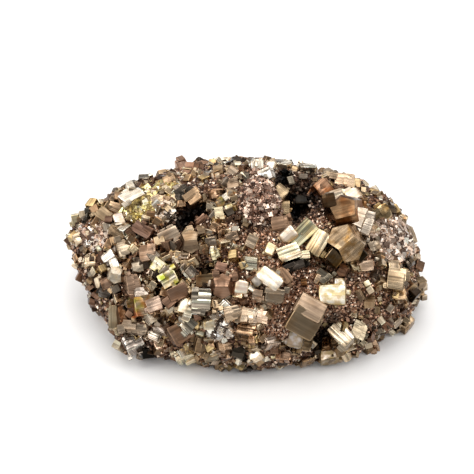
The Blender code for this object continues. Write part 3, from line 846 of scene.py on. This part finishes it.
khakiCrystals = {
    "colour": (158, 134, 106),
    "roughness": 0.26,
    "lineShade": 0.6,
    "filmColours": ((206, 178, 136), (150, 130, 116)),
    "slivers": [(7.2, -12.0, 1.6, 2.8, -20), (34.4, -9.3, 1.8, 3.2, 25)],
    "blocks": [
        (-42.8, 13.8, 4.4, 3.8, -40), (-3.4, 23.6, 3.8, 3.0, 10), (-3.8, 7.9, 3.8, 2.8, 22),
        (-15.4, 1.4, 2.6, 3.0, 20), (-22.5, 24.5, 3.8, 3.4, 20), (-13.5, -24.5, 4.4, 4.6, -10),
        (-6.4, -25.2, 3.8, 4.0, 5), (10.4, 20.7, 4.2, 4.4, -40, -10, 15), (11.6, 16.4, 3.6, 4.2, 0, -6, 6),
        (33.8, 24.3, 3.4, 3.8, -5, 18, 14), (-38.8, 8.5, 5.0, 2.6, -30, 0, 20),
        (-15.4, 19.2, 4.8, 4.0, 38, -12, 20),
    ],
    "rounds": [(-16.5, 6.0, 6.0, 5, 0, 14)],
}

# The largest crystal: two cubes grown together at a slight angle, which leaves a crease across its face
bigCube = {
    "colour": (138, 117, 93),
    "roughness": 0.28,
    "rounding": 0.16,
    "evenRounding": 0.9,
    "cornerShare": 0.0,
    "rimWidth": 0.3,
    "rimHighlightAndTone": (1.35, 1.34, 1.3),
    "faceVary": 0.08,
    "stripeVary": 0.05,
    "lineShade": 0.74,
    "plates": 0,
    "satellites": 0,
    "filmColours": ((206, 178, 136), (150, 130, 116)),
    "blocks": [(17.0, -17.5, 8.8, 7.6, -30, 4, -6), (18.9, -14.2, 8.8, 6.2, -30, 4, 16)],
}

tanCrystals = {
    "colour": (178, 147, 117),
    "blocks": [
        (-38.8, 16.7, 3.8, 3.6, -20), (-28.8, 2.7, 4.8, 4.8, 8, -14, 12), (-34.2, -6.5, 4.2, 6.0, 10),
        (-8.9, 20.9, 4.2, 2.8, 5), (-7.6, 8.9, 2.6, 2.6, -5), (-0.1, -20.4, 5.2, 4.2, -10),
        (11.5, -27.8, 4.0, 3.4, -10), (42.8, -7.2, 3.6, 3.2, -5), (45.8, -9.4, 4.0, 4.4, 5),
        (18.0, -28.5, 4.2, 3.6, 15),
    ],
}

brownCrystals = {
    "colour": (140, 111, 91),
    "roughness": 0.28,
    "blocks": [
        (-41.8, -6.1, 3.2, 3.0, 20), (-46.5, -11.5, 4.4, 4.2, 15), (-30.8, 9.3, 6.2, 3.6, -30, -10, 18),
        (-12.6, 12.6, 5.4, 3.4, 38, -20, -10), (-15.6, 27.4, 4.6, 4.2, 0), (-20.6, -8.9, 6.4, 4.2, 25, 10, 5),
        (-7.2, -1.3, 3.2, 3.0, -15), (-20.2, -20.6, 5.8, 5.4, 30, 14, 4), (10.4, 11.4, 5.0, 4.2, 10, -6, 12),
        (11.2, -3.8, 5.2, 3.0, -52, 12, 8),
    ],
    "rounds": [(-6.8, -6.9, 6.2, 0, -8, 0), (28.8, -2.3, 3.4, -25, 0, 10)],
}

darkCrystals = {
    "colour": (66, 60, 52),
    "roughness": 0.16,
    "rounding": 0.2,
    "faceVary": 0.4,
    "blocks": [
        (-46.6, 13.6, 3.8, 3.6, -10), (-41.7, -8.6, 4.0, 4.0, -15), (-29.7, -26.7, 3.8, 3.0, 5),
        (-18.7, 20.6, 3.8, 3.8, 42, -8, 24), (-0.9, 25.3, 3.0, 3.0, 0), (-2.4, -27.0, 3.8, 3.4, -20),
        (14.4, -0.6, 6.4, 2.4, 21, -2, -10),
    ],
}

greyCrystals = {
    "colour": (158, 144, 126),
    "blocks": [
        (-31.9, -1.3, 3.4, 3.0, 10), (-31.5, -9.3, 3.8, 3.0, 0), (-25.4, -19.7, 4.2, 3.4, -15),
        (-49.0, -5.0, 4.2, 3.8, -20), (-10.6, 6.4, 3.2, 3.2, 10), (8.5, -9.4, 5.6, 4.2, -8, 4, -10),
        (7.4, -23.6, 4.2, 3.6, 10), (-10.4, -27.8, 4.0, 3.4, 10), (23.4, -4.0, 3.8, 3.8, -35),
        (33.4, -21.0, 4.4, 5.2, -28, 10, 22), (38.0, 5.0, 3.2, 3.0, 25), (-32.9, -19.7, 7.4, 3.0, -5, 0, 20),
    ],
}

amberCrystals = {
    "seed": 4,
    "colour": (140, 112, 84),
    "filmCover": 0.5,
    "filmStrength": 0.8,
    "filmColours": ((228, 170, 106), (132, 116, 104)),
    "slivers": [(17.5, -5.9, 1.8, 2.4, 10), (34.2, -16.4, 1.8, 1.5, -10), (24.3, -24.3, 2.2, 3.2, 10)],
    "blocks": [
        (-36.7, -16.1, 3.8, 5.0, 0), (-12.2, -5.4, 5.0, 3.6, 5, 0, 8),
        (22.7, 22.0, 4.6, 5.0, 40, 14, 12), (33.6, 16.6, 4.6, 4.0, 10, 10, -6),
    ],
    "rounds": [(30.0, 14.6, 9.6, 15, -6, -8)],
}

goldCrystals = {
    "colour": (176, 150, 114),
    "roughness": 0.15,
    "faceVary": 0.45,
    "filmPerMm": 0.4,
    "filmCover": 0.5,
    "filmStrength": 0.8,
    "filmColours": ((222, 188, 108), (122, 106, 84)),
    "rounding": 0.9,
    "smoothBelow": 20,
    "blocks": [(40.7, 14.6, 4.6, 4.4, 30, 6, 8), (17.4, -23.4, 4.0, 5.6, -14, 8, 2)],
    "rounds": [(29.7, 5.6, 10.0, 40, 0, 4)],
}

paleCrystals = {
    "colour": (204, 184, 164),
    "rounding": 1.6,
    "smoothBelow": 24,
    "blocks": [(34.8, 11.8, 6.0, 7.0, -20, -2, 14)],
}

greenGoldCrystals = {
    "colour": (212, 196, 170),
    "filmPerMm": 0.4,
    "filmCover": 0.5,
    "filmStrength": 0.95,
    "filmColours": ((176, 200, 60), (226, 198, 116)),
    "blocks": [(-25.4, -1.1, 4.4, 3.8, -30), (-22.5, -5.0, 5.0, 4.6, 30, -18, 8)],
    "slivers": [(-4.7, 16.1, 2.4, 2.4, 20)],
}

stripedCrystals = {
    "colour": (224, 208, 186),
    "stripeVary": 0.45,
    "grooveDepth": 0.12,
    "lineShade": 0.28,
    "plates": 1,
    "blocks": [
        (-34.6, 7.3, 3.6, 3.4, 40), (-40.5, 1.7, 4.2, 3.2, 35), (-33.3, -24.0, 6.0, 4.8, 28, -10, 20),
        (-27.1, -21.9, 3.8, 2.8, -20), (-17.0, -3.0, 4.8, 3.8, -42), (-13.5, -11.1, 5.8, 6.4, -3, 4, 8),
        (-6.4, -12.8, 3.8, 3.2, 45), (-17.0, -18.5, 3.8, 4.4, -42, -4, 10), (1.8, 0.2, 3.8, 3.8, -5),
        (-18.4, -27.4, 5.6, 4.4, 20, -6, 20), (27.6, 19.3, 4.2, 4.6, 20, -14, 22),
    ],
}

goldenWhiteCrystals = {
    "seed": 6,
    "colour": (240, 221, 184),
    "stripeVary": 0.22,
    "rounding": 0.9,
    "smoothBelow": 20,
    "linesPerMm": 1.6,
    "lineShade": 0.26,
    "plates": 0,
    "satellites": 1,
    "filmColours": ((226, 184, 112), (190, 170, 130)),
    "blocks": [
        (21.8, 5.6, 7.4, 5.0, 60, -6, 12), (17.2, 8.6, 7.8, 4.6, 46, -8, 6),
        (13.0, 2.3, 6.8, 4.6, 21, -4, 18), (28.6, -22.0, 7.4, 5.0, -46, -6, 20),
    ],
}

iridescentCrystals = {
    "colour": (186, 160, 130),
    "filmPerMm": 0.4,
    "filmCover": 0.6,
    "filmStrength": 0.88,
    "filmColours": ((232, 144, 80), (176, 190, 84)),
    "satellites": 6,
    "blocks": [(-30.9, -13.2, 5.8, 5.6, 8, 15, 12), (-7.6, 17.8, 2.6, 2.4, 30)],
}

displayFinishes = {
    "white_crystals": whiteCrystals,
    "mottled_crystals": mottledCrystals,
    "cream_crystals": creamCrystals,
    "khaki_crystals": khakiCrystals,
    "big_cube": bigCube,
    "tan_crystals": tanCrystals,
    "brown_crystals": brownCrystals,
    "dark_crystals": darkCrystals,
    "grey_crystals": greyCrystals,
    "amber_crystals": amberCrystals,
    "gold_crystals": goldCrystals,
    "pale_crystals": paleCrystals,
    "green_gold_crystals": greenGoldCrystals,
    "striped_crystals": stripedCrystals,
    "golden_white_crystals": goldenWhiteCrystals,
    "iridescent_crystals": iridescentCrystals,
}
for pieceName, finish in displayFinishes.items():
    addDisplayPiece(pieceName, finish)
print("Display crystals done")

# Crystals of the sides, back and rim, along a spiral round the mass
backCrystals = {
    "squares": 8,
    "besideSquares": 4,
    "count": 390,
    "smallest": 3.6,
    "largest": 6.8,
    "keepClear": 4.6,  # of the display face's crystals, as the eye sees them
    "displayFacing": 0.5,  # the display face ends where the mass faces the eye by less than this cosine
    "rimFacing": 0.35,  # nearer to edge on than this the crystals are small
    "rimShrink": 0.7,
    "ledgeStep": 11,
    "ledgeFacing": -0.3,  # and the ledges begin where it faces away from the eye by this cosine
    "ledgeSize": 11.0,
    "ledgeSink": 0.3,
    "lean": 35.0,
    "narrowing": 0.2,  # how much one side's length varies, of the size
    "colours": ((226, 208, 182), (168, 146, 118), (186, 156, 128), (134, 106, 88), (210, 190, 164),
                (148, 134, 116)),
    "rimColours": ((244, 232, 212), (234, 216, 192), (222, 198, 170), (200, 178, 150), (240, 224, 204),
                   (190, 172, 150)),
    "rimSeen": 0.1,  # a rim crystal past this cosine is seen from the front, and is one of the paler ones
    "plates": 1,
}


# The directions of the spiral that get a crystal: not where the display face has its own, nor below the base.
# Sizes, leans and turns vary along the spiral as if by chance.
def addBackCrystals(own):
    look = {**plainLook, **own}
    draw = np.random.default_rng(look["seed"])
    directions = spiral(look["count"])
    hits = directions * massRadius(directions)[:, None]
    normals = massNormals(directions)
    facing = plainFacing(hits)
    laidOut = np.vstack([row[:2] for finish in displayFinishes.values()
                         for row in finish["blocks"] + finish.get("rounds", [])])
    nearest = np.linalg.norm(seenPlace(hits)[:, None] - laidOut[None], axis=2).min(axis=1)
    crowded = (facing > look["displayFacing"]) | ((facing > 0) & (nearest < look["keepClear"]))
    kept = np.flatnonzero((hits[:, 2] >= -mass["middleHeight"] - 1) & ~crowded)
    size = look["smallest"] + (look["largest"] - look["smallest"]) * ((1 + np.sin(kept * 5.3)) / 2) ** 2
    size *= np.where(np.abs(facing[kept]) < look["rimFacing"], look["rimShrink"], 1)
    ledge = (kept % look["ledgeStep"] == 0) & (facing[kept] < look["ledgeFacing"])
    size = np.where(ledge, look["ledgeSize"], size)
    rise = np.where(ledge, -look["ledgeSink"], crystalRise)
    turns = []
    for index in kept:
        lean = Matrix.Rotation(np.radians(look["lean"] * np.sin(index * 3.1)), 3, "X")
        square = Vector(normals[index]).to_track_quat("Z", "Y").to_matrix()
        turns.append(np.array(square @ lean @ Matrix.Rotation(index * 2.1, 3, "Z")))
    centres = hits[kept] + normals[kept] * (size * rise)[:, None]
    narrowed = size * (1 - look["narrowing"] + look["narrowing"] * np.sin(kept))
    sizes = np.column_stack([size, narrowed, size])
    pick = draw.integers(0, len(look["colours"]), len(kept))
    seen = facing[kept] > look["rimSeen"]
    colours = np.where(seen[:, None], linear(look["rimColours"])[pick], linear(look["colours"])[pick])

    # Painted shade: their middles stand out, so the painted cavity shade is squared to keep the ones by a
    # cavity as dark as its walls
    colours *= np.square(hollowShade(hits[kept]))[:, None]
    material = pyriteMaterial("backFinish", look)
    crystals = (centres, np.array(turns), sizes, colours)
    addCrystals("back_crystals", material, look, draw, look["squares"], *crystals)
    addBeside("back_crystals", material, look, draw, crystals, slice(None))


addBackCrystals(backCrystals)
print("Back crystals done")

# Small crystals between the large ones: (across, up, half width, half height, count, smallest, largest)
smallCrystals = {
    "zones": [
        (-33, 2, 24, 26, 620, 1.1, 3.2), (-12, -12, 20, 20, 320, 1.0, 3.0), (-10, 20, 16, 13, 230, 1.0, 2.8),
        (4, -27, 24, 6, 150, 1.0, 2.8), (46, -4, 10, 24, 200, 1.0, 3.2), (36, 20, 14, 12, 140, 1.0, 3.0),
        (20, -2, 18, 18, 26, 0.9, 2.0), (34, -23, 14, 8, 90, 1.2, 3.0),
    ],
    "limits": (54, 32),  # half width and half height of the ellipse that no zone reaches past
    "smallBias": 1.7,  # the higher, the fewer are large
    "rise": (0.0, 0.4),  # of its size, how far one's middle stands above the mass
    "shape": (0.7, 1.15),
    "squares": 4,
    "pieces": 2,
    "keepOut": [  # across, up, radius: the cavities and the crusts of fine grains
        (4.7, 18.4, 7.0), (4.5, 25.8, 4.4), (-21.0, 11.4, 4.0), (-17.4, 13.8, 4.2), (-13.6, 16.0, 3.2),
        (15.2, 22.0, 6.0), (16.8, 15.6, 5.4), (21.5, 17.5, 5.4), (23.0, -22.5, 3.2), (44.4, 7.2, 6.0),
        (-31.2, 16.8, 3.6), (48.0, -1.2, 2.0),
    ],
    "behind": 520,  # more of them, all round
    "behindFacing": 0.4,  # where the mass faces the eye by less than this cosine
    "sunkShade": 0.5,  # the share of its colour that a crystal sunk out of the light keeps
    "standingShade": 0.26,  # and what each millimetre that it stands out adds
    "behindSmallest": 1.4,
    "behindLargest": 3.4,
    "colours": ((240, 226, 204), (228, 210, 182), (214, 194, 164), (192, 170, 138), (162, 138, 108),
                (146, 122, 94), (176, 144, 112), (126, 98, 78), (110, 84, 68), (142, 128, 112),
                (72, 60, 50), (190, 164, 118)),
    "roughness": 0.24,
}


# Turns with no favoured direction, from the QR parts of random matrices
def anyTurns(count, draw):
    turns = np.linalg.qr(draw.standard_normal((count, 3, 3)))[0]
    turns[np.linalg.det(turns) < 0] *= -1
    return turns


# Sizes between two limits, most of them near the smaller
def smallSizes(smallest, largest, count, bias, draw):
    return smallest + (largest - smallest) * draw.random(count) ** bias


# Places within an ellipse, spread evenly
def scatter(across, up, halfWidth, halfHeight, count, draw):
    angle = draw.uniform(0, 2 * np.pi, count)
    reach = np.sqrt(draw.random(count))
    return np.column_stack([across + halfWidth * reach * np.cos(angle),
                            up + halfHeight * reach * np.sin(angle)])


def addSmallCrystals(own):
    look = {**plainLook, **own}
    draw = np.random.default_rng(look["seed"])
    places, sizes = [], []
    for *ellipse, count, smallest, largest in look["zones"]:
        places.append(scatter(*ellipse, count, draw))
        sizes.append(smallSizes(smallest, largest, count, look["smallBias"], draw))
    places, sizes = np.vstack(places), np.concatenate(sizes)
    seen = np.square(places / look["limits"]).sum(axis=1) < 1
    for across, up, radius in look["keepOut"]:
        seen &= np.hypot(places[:, 0] - across, places[:, 1] - up) > radius
    around = spiral(look["behind"] * 2)
    aroundHits = around * massRadius(around)[:, None]
    hidden = (plainFacing(aroundHits) < look["behindFacing"]) & (aroundHits[:, 2] > -mass["middleHeight"])
    hits = np.vstack([seenOn(massRadius, places[seen]), aroundHits[hidden]])
    behind = smallSizes(look["behindSmallest"], look["behindLargest"], hidden.sum(), look["smallBias"], draw)
    size = np.concatenate([sizes[seen], behind])
    normals = massNormals(hits / np.linalg.norm(hits, axis=1)[:, None])
    rise = draw.uniform(*look["rise"], len(size))
    centres = hits + normals * (size * rise)[:, None]
    boxes = size[:, None] * draw.uniform(*look["shape"], (len(size), 3))
    palette = linear(look["colours"])
    # Painted shade: crystals sunk lower into the mass are darker, and those in the cavities and beside the
    # big crystals darker still
    paintedSinkShade = np.clip(look["sunkShade"] + look["standingShade"] * size * (0.5 + rise), 0, 1)
    colours = palette[draw.integers(0, len(palette), len(size))] * (hollowShade(hits) * paintedSinkShade)[:, None]
    material = pyriteMaterial("smallFinish", look)
    turns = anyTurns(len(size), draw)
    for number, part in enumerate(np.array_split(np.arange(len(size)), look["pieces"]), 1):
        addCrystals(f"small_crystals_{number}", material, look, draw, look["squares"], centres[part],
                    turns[part], boxes[part], colours[part])


addSmallCrystals(smallCrystals)
print("Small crystals done")


# Dull brown in two shades, speckled cell by cell, with painted shade darkening the cavities and the shadows
# beside crystals
def massMaterial():
    material, tree, shader, paintedCavityShade = tintedMaterial("massFinish")
    pits = useGroup(tree, "pitting", Pits_per_mm=mass["pitsPerMm"])
    film = useGroup(tree, "tarnish", Patches_per_mm=mass["patchesPerMm"])
    base, patch = ((*linear(mass[title]), 1) for title in ("colour", "patchColour"))
    # Painted shade: the mesh's tint darkens the cavities and the crevices beside crystals
    patched = mixColour(tree, 1.0, mixColour(tree, film["Patches"], base, patch), paintedCavityShade, "MULTIPLY")
    speckled = mixColour(tree, pits["Cell"], shaded(tree, patched, mass["speckShade"]), patched)
    tree.links.new(speckled, shader.inputs["Base Color"])
    shader.inputs["Metallic"].default_value = mass["metallic"]
    shader.inputs["Roughness"].default_value = mass["roughness"]
    bump = addNode(tree, "Bump", Height=pits["Height"], Distance=mass["pitDepth"] * mm, Strength=1.0)
    tree.links.new(bump.outputs[0], shader.inputs["Normal"])
    return material


# The mass itself: the cube skin blown up to the mass's radius, with fine roughness, flat underneath. The
# tangent spaces its lines evenly as angles.
def addMass():
    skin = cubeSkin(mass["grid"])
    directions = skin["points"] / mass["grid"] * 2 - 1
    directions = np.tan(directions * np.pi / 4)
    directions /= np.linalg.norm(directions, axis=1)[:, None]
    radius = massRadius(directions)
    surface = directions * radius[:, None]
    # Painted shade: the quads of the cavities and of the shadows beside crystals are darkened through the
    # tint
    shade = hollowShade(surface)[skin["quads"]].mean(axis=1)
    radius += mass["fineHeight"] * ripple(surface, mass["fineLength"], mass["finePhase"])
    floorReach = mass["middleHeight"] / np.maximum(-directions[:, 2], 1e-6)
    points = directions * np.minimum(radius, floorReach)[:, None]
    tint = np.repeat(shade[:, None], 3, axis=1)
    piece = makePiece("druse_mass", points, skin["quads"], massMaterial(), tint)
    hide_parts("pyrite_cluster")
    return piece


addMass()
print("Mass done")

# Druse: tiny sunk cubes over the mass, finest in the bare field right of the middle. A zone has places of
# (across, up, radius) and its own grain size and colours.
druse = {
    "layers": {  # grains that would cover the whole mass, and their sizes
        "fine_druse": (120000, (0.36, 0.66)),
        "brown_druse": (44000, (0.5, 0.9)),
        "back_druse": (30000, (0.7, 1.25)),
    },
    "fineField": (23.5, -5.0, 31.0, 20.0),  # across, up, half width, half height
    "fineColours": ((176, 137, 110), (130, 99, 80), (206, 166, 138), (82, 60, 49)),
    "colours": ((126, 96, 77), (92, 68, 55), (152, 117, 93), (68, 50, 42)),
    "sparkle": (250, 226, 202),
    "sparkleShare": 0.16,
    "roughness": 0.3,
    "crustRoughness": 0.24,
    "metallic": 0.9,
    "pitsPerMm": 5.0,
    "speckShade": (0.55, 0.5, 0.48),  # of the darkest cells
    "faceShade": (0.7, 1.25),
    "rise": (-0.1, 0.25),  # of its size, how far a grain's middle stands above the mass
    "stray": 0.6,  # how far grains stray from an even spiral, of its spacing
    "frontFrom": 2,  # the front begins this far towards the eye from the middle
    "aboveBase": 0.2,
    "mostInPiece": 16000,
    "seed": 11,
    "zones": {
        "pinkKnob": {"places": [(4.8, 18.6, 6.8), (4.5, 25.8, 4.2)], "size": (0.75, 1.3), "count": 760,
                     "colours": ((186, 154, 134), (156, 125, 107), (218, 196, 176), (94, 72, 60))},
        "yellowCrust": {"places": [(-31.4, 17.0, 5.4), (-23.5, 22.0, 3.2)], "size": (0.9, 2.0), "count": 420,
                        "colours": ((246, 232, 160), (220, 202, 138), (250, 242, 214), (160, 140, 100))},
        "pinkCream": {"places": [(-45.0, 8.5, 4.6)], "size": (1.0, 2.1), "count": 190,
                      "colours": ((248, 228, 208), (208, 176, 154), (252, 242, 230), (122, 98, 84))},
        "greyCrust": {"places": [(44.4, 7.2, 7.4)], "size": (0.9, 1.9), "count": 620,
                      "colours": ((240, 218, 198), (206, 182, 162), (252, 240, 226), (124, 104, 90))},
        "whiteCluster": {"places": [(-8.0, -19.5, 3.8), (-24.5, 15.5, 3.0)], "size": (1.0, 2.0), "count": 240,
                         "colours": ((255, 248, 236), (244, 232, 216), (206, 190, 168), (96, 84, 74))},
    },
}


def druseMaterial(name, roughness):
    material, tree, shader, tint = tintedMaterial(name)
    pits = useGroup(tree, "pitting", Pits_per_mm=druse["pitsPerMm"])
    speckled = mixColour(tree, pits["Cell"], shaded(tree, tint, druse["speckShade"]), tint)
    tree.links.new(speckled, shader.inputs["Base Color"])
    shader.inputs["Metallic"].default_value = druse["metallic"]
    shader.inputs["Roughness"].default_value = roughness
    return material


# Grains as little closed cubes, their middles on the mass
def addGrains(name, material, draw, hits, size, colours):
    skin = cubeSkin(1)
    unit = skin["points"] - 0.5
    normals = massNormals(hits / np.linalg.norm(hits, axis=1)[:, None])
    centres = hits + normals * (size * draw.uniform(*druse["rise"], len(size)))[:, None]
    turns = anyTurns(len(size), draw) * size[:, None, None]
    points = centres[:, None] + np.einsum("gij,pj->gpi", turns, unit)
    quads = (skin["quads"][None] + (np.arange(len(size)) * len(unit))[:, None, None]).reshape(-1, 4)
    shade = draw.uniform(*druse["faceShade"], (len(size), 6, 1))
    tint = np.clip(colours[:, None] * shade, 0, 1).reshape(-1, 3)
    piece = makePiece(name, points.reshape(-1, 3), quads, material, tint)
    if points[..., 2].min() < -mass["middleHeight"]:
        sawBase(piece)


# The layers that cover the whole mass between them: fine grains in the bare field, coarser ones elsewhere
def addLayers(draw):
    material = druseMaterial("brownDruseFinish", druse["roughness"])
    across, up, halfWidth, halfHeight = druse["fineField"]
    for name, (total, sizeRange) in druse["layers"].items():
        directions = spiral(total)
        directions += draw.normal(0, druse["stray"] / np.sqrt(total), directions.shape)
        directions /= np.linalg.norm(directions, axis=1)[:, None]
        hits = directions * massRadius(directions)[:, None]
        front = (hits @ towardsAxis) > druse["frontFrom"]
        offset = (seenPlace(hits) - (across, up)) / (halfWidth, halfHeight)
        fine = front & (np.square(offset).sum(axis=1) < 1)
        wanted = {"fine_druse": fine, "brown_druse": front & ~fine, "back_druse": ~front}[name]
        wanted &= hits[:, 2] > -mass["middleHeight"] + druse["aboveBase"]
        hits = hits[wanted]
        count = len(hits)
        palette = linear(druse["fineColours" if name == "fine_druse" else "colours"])
        colours = palette[draw.integers(0, len(palette), count)]
        bright = draw.random(count) < druse["sparkleShare"]
        colours = np.where(bright[:, None], linear(druse["sparkle"]), colours)
        # Painted shade: grains in the cavities and in the shadows beside crystals are darkened
        colours = colours * hollowShade(hits)[:, None]
        size = draw.uniform(*sizeRange, count)
        parts = np.array_split(np.arange(count), int(np.ceil(count / druse["mostInPiece"])))
        for number, part in enumerate(parts, 1):
            addGrains(f"{name}_{number}", material, draw, hits[part], size[part], colours[part])


# The crusts of their own colour. A zone's places share its grains by area.
def addCrusts(draw):
    for name, zone in druse["zones"].items():
        total = sum(radius**2 for _, _, radius in zone["places"])
        places = [scatter(across, up, radius, radius, int(zone["count"] * radius**2 / total), draw)
                  for across, up, radius in zone["places"]]
        hits = seenOn(massRadius, np.vstack(places))
        palette = linear(zone["colours"])
        colours = palette[draw.integers(0, len(palette), len(hits))]
        size = draw.uniform(*zone["size"], len(hits))
        material = druseMaterial(name + "Finish", druse["crustRoughness"])
        addGrains(f"{name}_druse", material, draw, hits, size, colours)


druseDraw = np.random.default_rng(druse["seed"])
addLayers(druseDraw)
addCrusts(druseDraw)
print("Druse done")


# Plain pale floor, soft studio light and the camera
studio = {
    "floorSize": 3.0,
    "floorDrop": 0.0001,  # so that it doesn't lie in the sawn base
    "floorColour": (0.86, 0.85, 0.84),
    "floorRoughness": 0.9,
    "floorShine": 0.1,
    "worldLow": (0.34, 0.34, 0.34),
    "worldHigh": (1.1, 1.1, 1.1),
    "worldHeights": (0.1, 0.95),  # the sine of the elevation at which each is reached
    "lights": [  # azimuth, elevation, distance, width, height, brightness
        (195, 48, 0.60, 0.75, 0.42, 1.8),
        (-70, 38, 0.60, 0.36, 0.45, 2.4),
        (75, 50, 0.60, 0.28, 0.40, 2.4),
        (25, 84, 0.55, 0.22, 0.22, 3.4),
    ],
    "exposure": 0.0,
}


def addStudio():
    half = studio["floorSize"] / 2
    corners = [(x * half, y * half, -studio["floorDrop"]) for x, y in ((-1, -1), (1, -1), (1, 1), (-1, 1))]
    mesh = bpy.data.meshes.new("floor")
    mesh.from_pydata(corners, [], [(0, 1, 2, 3)])
    floor = bpy.data.objects.new("floor", mesh)
    bpy.context.scene.collection.objects.link(floor)
    material = bpy.data.materials.new("floorFinish")
    material.use_nodes = True
    shader = material.node_tree.nodes["Principled BSDF"]
    shader.inputs["Base Color"].default_value = (*studio["floorColour"], 1)
    shader.inputs["Roughness"].default_value = studio["floorRoughness"]
    shader.inputs["Specular IOR Level"].default_value = studio["floorShine"]
    mesh.materials.append(material)

    # The room is darker low down and lighter overhead
    world = bpy.data.worlds.new("studio")
    world.use_nodes = True
    tree = world.node_tree
    apart = addNode(tree, "SeparateXYZ", i0=addNode(tree, "TexCoord").outputs["Generated"])
    height = remap(tree, apart.outputs[2], *studio["worldHeights"])
    shade = mixColour(tree, height, (*studio["worldLow"], 1), (*studio["worldHigh"], 1))
    tree.links.new(shade, tree.nodes["Background"].inputs["Color"])
    bpy.context.scene.world = world

    for azimuth, elevation, distance, width, height, brightness in studio["lights"]:
        light = bpy.data.lights.new("softbox", "AREA")
        light.shape = "RECTANGLE"
        light.size, light.size_y = width, height
        light.energy = brightness * np.pi * width * height
        lamp = bpy.data.objects.new("softbox", light)
        turn = np.radians(azimuth)
        rise = np.radians(elevation)
        out = Vector((np.sin(turn) * np.cos(rise), -np.cos(turn) * np.cos(rise), np.sin(rise)))
        lamp.location = out * distance
        lamp.rotation_euler = out.to_track_quat("Z", "Y").to_euler()
        bpy.context.scene.collection.objects.link(lamp)


def addCamera():
    camera = bpy.data.cameras.new("camera")
    camera.sensor_width = eye["sensor"]
    camera.lens = eye["sensor"] * eye["distance"] / eye["seenWidth"]
    camera.clip_start = 0.01
    holder = bpy.data.objects.new("camera", camera)
    matrix = Matrix((rightAxis, upAxis, towardsAxis)).transposed().to_4x4()
    matrix.translation = (Vector(eyePoint) + Vector((0, 0, mass["middleHeight"]))) * mm
    holder.matrix_world = matrix
    bpy.context.scene.collection.objects.link(holder)
    bpy.context.scene.camera = holder


addStudio()
addCamera()
bpy.context.scene.view_settings.view_transform = "Standard"
bpy.context.scene.view_settings.exposure = studio["exposure"]
print("Studio done")
